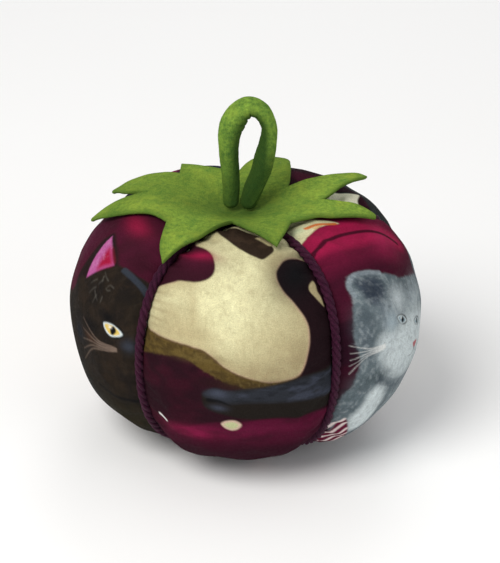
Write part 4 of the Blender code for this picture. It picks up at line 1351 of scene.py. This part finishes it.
def make_loop(surface):
    """Felt rolled into a cord: a spiral seam where the sheet ends, creases pressed in inside the bend, and
    painted shade in those creases, along the seam, towards the feet, on the inner side and on the leg turned
    from the light.
    """
    places = [np.array([HINGE.x + x, HINGE.y, HINGE.z + z, radius]) for x, z, radius in LOOP_ROUTE]
    smoothed = smooth_route(places, LOOP_STEPS)
    route, radii = smoothed[:, :3], smoothed[:, 3]
    left, left_radii = foot_points(route[0], radii[0], 8)
    right, right_radii = foot_points(route[-1], radii[-1], 8)
    path = np.concatenate([left, route, right[::-1]])
    radii = np.concatenate([left_radii, radii, right_radii[::-1]])
    _, across, up = frames_along(path)
    lengths = np.concatenate([[0], np.cumsum(np.linalg.norm(np.diff(path, axis=0), axis=1))])
    middle = np.array([HINGE.x + 0.0022, HINGE.y, HINGE.z + 0.018])
    crease_and_seam_shade = []

    def radius(i, turns):
        s = lengths[i] / lengths[-1]
        seam = turns - 1.9 - 5.5 * s
        wrapped = (seam + math.pi) % math.tau - math.pi
        step = 0.055 * np.where(wrapped > 0, np.exp(-wrapped / 0.9), -np.exp(wrapped / 0.10) * 0.9)
        outwards = np.cos(turns)[:, None] * across[i] + np.sin(turns)[:, None] * up[i]
        inner = np.clip(outwards @ (middle - path[i]) / 0.008, 0, 1)
        arch = math.exp(-(((s - 0.5) / 0.16) ** 2))
        folds = np.clip(np.sin(lengths[i] * 2300 + 1.2 * np.sin(2 * turns)), 0, 1)
        crease = arch * inner * 0.16 * folds**3
        soft = 0.030 * np.sin(2 * turns + 9 * s) + 0.022 * np.sin(3 * turns - 21 * s + 1)
        soft = soft + 0.015 * np.sin(41 * s + turns) + 0.010 * np.sin(5 * turns + 63 * s)
        fuzz = 0.006 * np.sin(11 * turns + 160 * s) + 0.005 * np.sin(17 * turns - 230 * s)
        # Painted shade in the creases and along the seam's overlapping edge.
        crease_and_seam_shade.append(np.clip(3.0 * crease + np.exp(-((wrapped / 0.09) ** 2)) * 0.75, 0, 1))
        return radii[i] * (1 + step + soft + fuzz - crease)

    points, faces, _ = sweep(path, radius, LOOP_SIDES)
    loop = add_mesh("stem_loop_felt", points, faces)
    # Painted shade towards the feet, where the loop meets the calyx.
    low = np.clip(1 - (points[:, 2] - HINGE.z) / 0.017, 0, 1)
    centres = np.repeat(path, LOOP_SIDES, 0)
    outwards = points - centres
    outwards /= np.linalg.norm(outwards, axis=1)[:, None]
    towards = (middle - centres) * (1, 0, 1)
    towards /= np.linalg.norm(towards, axis=1)[:, None]
    inner = (outwards * towards).sum(1)
    # Painted shade on the side that faces into the loop.
    inwards = np.clip((inner + 0.25) / 0.8, 0, 1) ** 1.3
    # Painted shade on the right leg, turned from the light, all but its outer edge.
    right_leg = np.clip((centres[:, 0] - middle[0]) / 0.003, 0, 1)
    height = np.clip((HINGE.z + 0.024 - points[:, 2]) / 0.010, 0.25, 1)
    away_from_light = right_leg * height * np.clip((1.05 + inner) / 0.9, 0, 1)
    shade = 0.6 * np.concatenate(crease_and_seam_shade) + 0.60 * low + 0.80 * inwards + 0.55 * away_from_light
    shade = np.clip(shade, 0, 0.90)
    set_point_values(loop.data, "cut_edge_shade", np.zeros(len(points)))
    set_point_values(loop.data, "shade", shade)
    loop.data.materials.append(surface)
    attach(loop, "loop")
    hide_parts("stem_loop")
    return loop


# ---- the base ----

BASE_STITCHES = 28
BASE_ROUNDING = 0.0005


def make_base(surface, thread):
    """A felt disc that hides the gathered ends, oversewn to the cotton round its edge."""
    flat_rings = np.linspace(0.0005, BASE_RADIUS - 0.0012, 24)
    rim_rings = BASE_RADIUS - 0.0012 * (1 - np.sin(np.radians(np.linspace(10, 90, 9))))
    rings = np.concatenate([flat_rings, rim_rings])
    turns = np.arange(144) / 144 * math.tau
    worn = 1 + 0.010 * np.sin(3 * turns + 1) * 0.4 + ragged(144, 9, 0.0014)
    radius = rings[:, None] * np.minimum(worn, 1.004)
    inside = (BASE_RADIUS - rings)[:, None] + 0 * turns
    rounded = np.sqrt(1 - (1 - np.clip(inside / BASE_ROUNDING, 0, 1)) ** 2)
    drawn = 0.00022 * np.exp(-(((rings - BASE_RADIUS + 0.0013) / 0.0006) ** 2))[:, None]
    drawn = drawn * (0.5 + 0.5 * np.cos(BASE_STITCHES * turns))
    x, y = radius * np.sin(turns), -radius * np.cos(turns)
    middle, half = BASE_TOP / 2, BASE_TOP / 2 * (0.3 + 0.7 * rounded)
    under = np.stack([x, y, middle - half + drawn], -1)
    over = np.stack([x, y, middle + half - 0.3 * drawn], -1)
    centres = np.array([[0, 0, BASE_TOP], [0, 0, 0.0]])
    points = np.concatenate([over.reshape(-1, 3), under.reshape(-1, 3), centres])
    base = add_mesh("base_felt", points, disc_faces(len(rings), len(turns)))
    # Painted shade along the disc's cut rim.
    edge = np.exp(-((inside / 0.0004) ** 2)).ravel()
    set_point_values(base.data, "cut_edge_shade", np.concatenate([edge, edge, [0, 0]]))
    set_point_values(base.data, "shade", np.full(len(points), 0.1))
    base.data.materials.append(surface)
    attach(base, "cushion")
    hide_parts("base_disc")
    make_base_stitches(thread)
    return base


def make_base_stitches(thread):
    """Slanting oversewn stitches from the disc's face, round its edge and up into the cotton."""
    points, faces, strand = [], [], []
    for k in range(BASE_STITCHES):
        turn = k * math.tau / BASE_STITCHES + 0.02 * math.sin(7 * k)
        slant = 0.55 * math.tau / BASE_STITCHES
        places = []
        for radius, height, share in (
            (BASE_RADIUS - 0.0021, 0.0004, 0.0), (BASE_RADIUS - 0.0011, 0.00022, 0.35),
            (BASE_RADIUS + 0.00012, 0.00050, 0.7), (BASE_RADIUS + 0.0006, 0.0013, 0.9),
            (BASE_RADIUS + 0.0010, 0.0027, 1.0),
        ):
            azimuth = turn + slant * share
            places.append((radius * math.sin(azimuth), -radius * math.cos(azimuth), height))
        path = smooth_route(places, 6)
        count = len(path)

        def radius_at(i, turns, count=count):
            return np.full(len(turns), 0.00022 * min(1, 0.3 + 0.35 * min(i, count - 1 - i)))

        some, some_faces, where = sweep(path, radius_at, 7, sum(map(len, points)))
        spin = where[:, 0] * math.tau + where[:, 1] * 2500
        strand.append(np.column_stack([np.cos(spin), np.sin(spin), where[:, 1]]))
        points.append(some)
        faces += some_faces
    stitches = add_mesh("base_stitches", np.concatenate(points), faces)
    set_vector_values(stitches.data, "strand", np.concatenate(strand))
    stitches.data.materials.append(thread)
    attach(stitches, "cushion")
    return stitches


def refinish(node, surface):
    """A CAD node keeps its shape and gets a finer material."""
    slots = frame["nodes"][node].data.materials
    slots.clear()
    slots.append(surface)


# ---- floor, lights and camera ----

CAMERA_DISTANCE = 0.665
CAMERA_ELEVATION = math.radians(26.33)
CAMERA_ROLL = math.radians(1.27)
CAMERA_ASIDE = 0.00123
CAMERA_RAISED = 0.00535
CAMERA_LENS = 157.7


def make_floor():
    size, count = 6.0, 25
    line = np.linspace(-size / 2, size / 2, count)
    y, x = np.meshgrid(line[::-1], line, indexing="ij")
    points = np.stack([x, y, np.zeros_like(x)], -1).reshape(-1, 3)
    floor = add_mesh("floor", points, grid_faces(count, count), smooth=False)
    n = Nodes("pale_floor")
    place = n.add("TexCoord").outputs["Object"]
    tone = n.span(n.noise(place, 3.0, 3.0), 0.3, 0.7, 0.0, 1.0)
    surface = n.finish(Base_Color=n.mix(tone, (0.955, 0.955, 0.955), (0.975, 0.975, 0.975)), Roughness=0.85)
    floor.data.materials.append(surface)


def make_light(name, place, target, size, power, colour):
    data = bpy.data.lights.new(name, "AREA")
    data.shape = "DISK"
    data.size = size
    data.energy = power
    data.color = colour
    lamp = bpy.data.objects.new(name, data)
    bpy.context.scene.collection.objects.link(lamp)
    lamp.location = place
    lamp.rotation_euler = (Vector(target) - Vector(place)).to_track_quat("-Z", "Y").to_euler()


def make_world(strength):
    world = bpy.data.worlds.new("studio")
    world.use_nodes = True
    background = world.node_tree.nodes["Background"]
    background.inputs["Color"].default_value = (1.0, 1.0, 1.0, 1)
    background.inputs["Strength"].default_value = strength
    bpy.context.scene.world = world


def make_camera():
    data = bpy.data.cameras.new("camera")
    data.lens = CAMERA_LENS
    data.sensor_width = 36
    data.clip_start, data.clip_end = 0.01, 20
    camera = bpy.data.objects.new("camera", data)
    bpy.context.scene.collection.objects.link(camera)
    back = Vector((0, -math.cos(CAMERA_ELEVATION), math.sin(CAMERA_ELEVATION)))
    camera.rotation_mode = "QUATERNION"
    turn = (-back).to_track_quat("-Z", "Y")
    turn = turn @ Quaternion((0, 0, 1), CAMERA_ROLL)
    camera.rotation_quaternion = turn
    aside, up = turn @ Vector((1, 0, 0)), turn @ Vector((0, 1, 0))
    centre = Vector((0, 0, EQUATOR_HEIGHT))
    camera.location = centre + back * CAMERA_DISTANCE + aside * CAMERA_ASIDE + up * CAMERA_RAISED
    bpy.context.scene.camera = camera


def make_studio():
    """A pale floor, even light from all round and three soft lamps."""
    make_floor()
    make_world(0.40)
    target = (0, 0, EQUATOR_HEIGHT)
    make_light("key", (-0.42, -0.55, 0.75), target, 0.62, 8.2, (1.0, 0.985, 0.955))
    make_light("fill", (0.6, -0.6, 0.35), target, 0.7, 1.6, (0.95, 0.97, 1.0))
    make_light("back", (0.1, 0.7, 0.6), target, 0.5, 1.5, (1.0, 1.0, 1.0))
    bpy.context.scene.view_settings.view_transform = "Standard"


def main():
    """Makes every piece, then the floor, the lamps and the camera."""
    cotton = cotton_material("printed_cotton")
    for index in range(LOBES):
        make_cover(index, cotton)
    cord = cord_material()
    for index in range(LOBES):
        make_cord(index, cord)
    felt = felt_material("green_felt", (0.265, 0.400, 0.055), (0.115, 0.215, 0.034))
    make_calyx(felt)
    # The loop is the same felt in a darker copy, as painted shade.
    make_loop(felt_material("rolled_green_felt", (0.205, 0.345, 0.050), (0.075, 0.158, 0.029)))
    make_base(felt, thread_material("green_thread", (0.10, 0.17, 0.03)))
    refinish("filling", fibrefill_material())
    refinish("centre_tie", waxed_thread_material())
    make_studio()
    make_camera()


main()
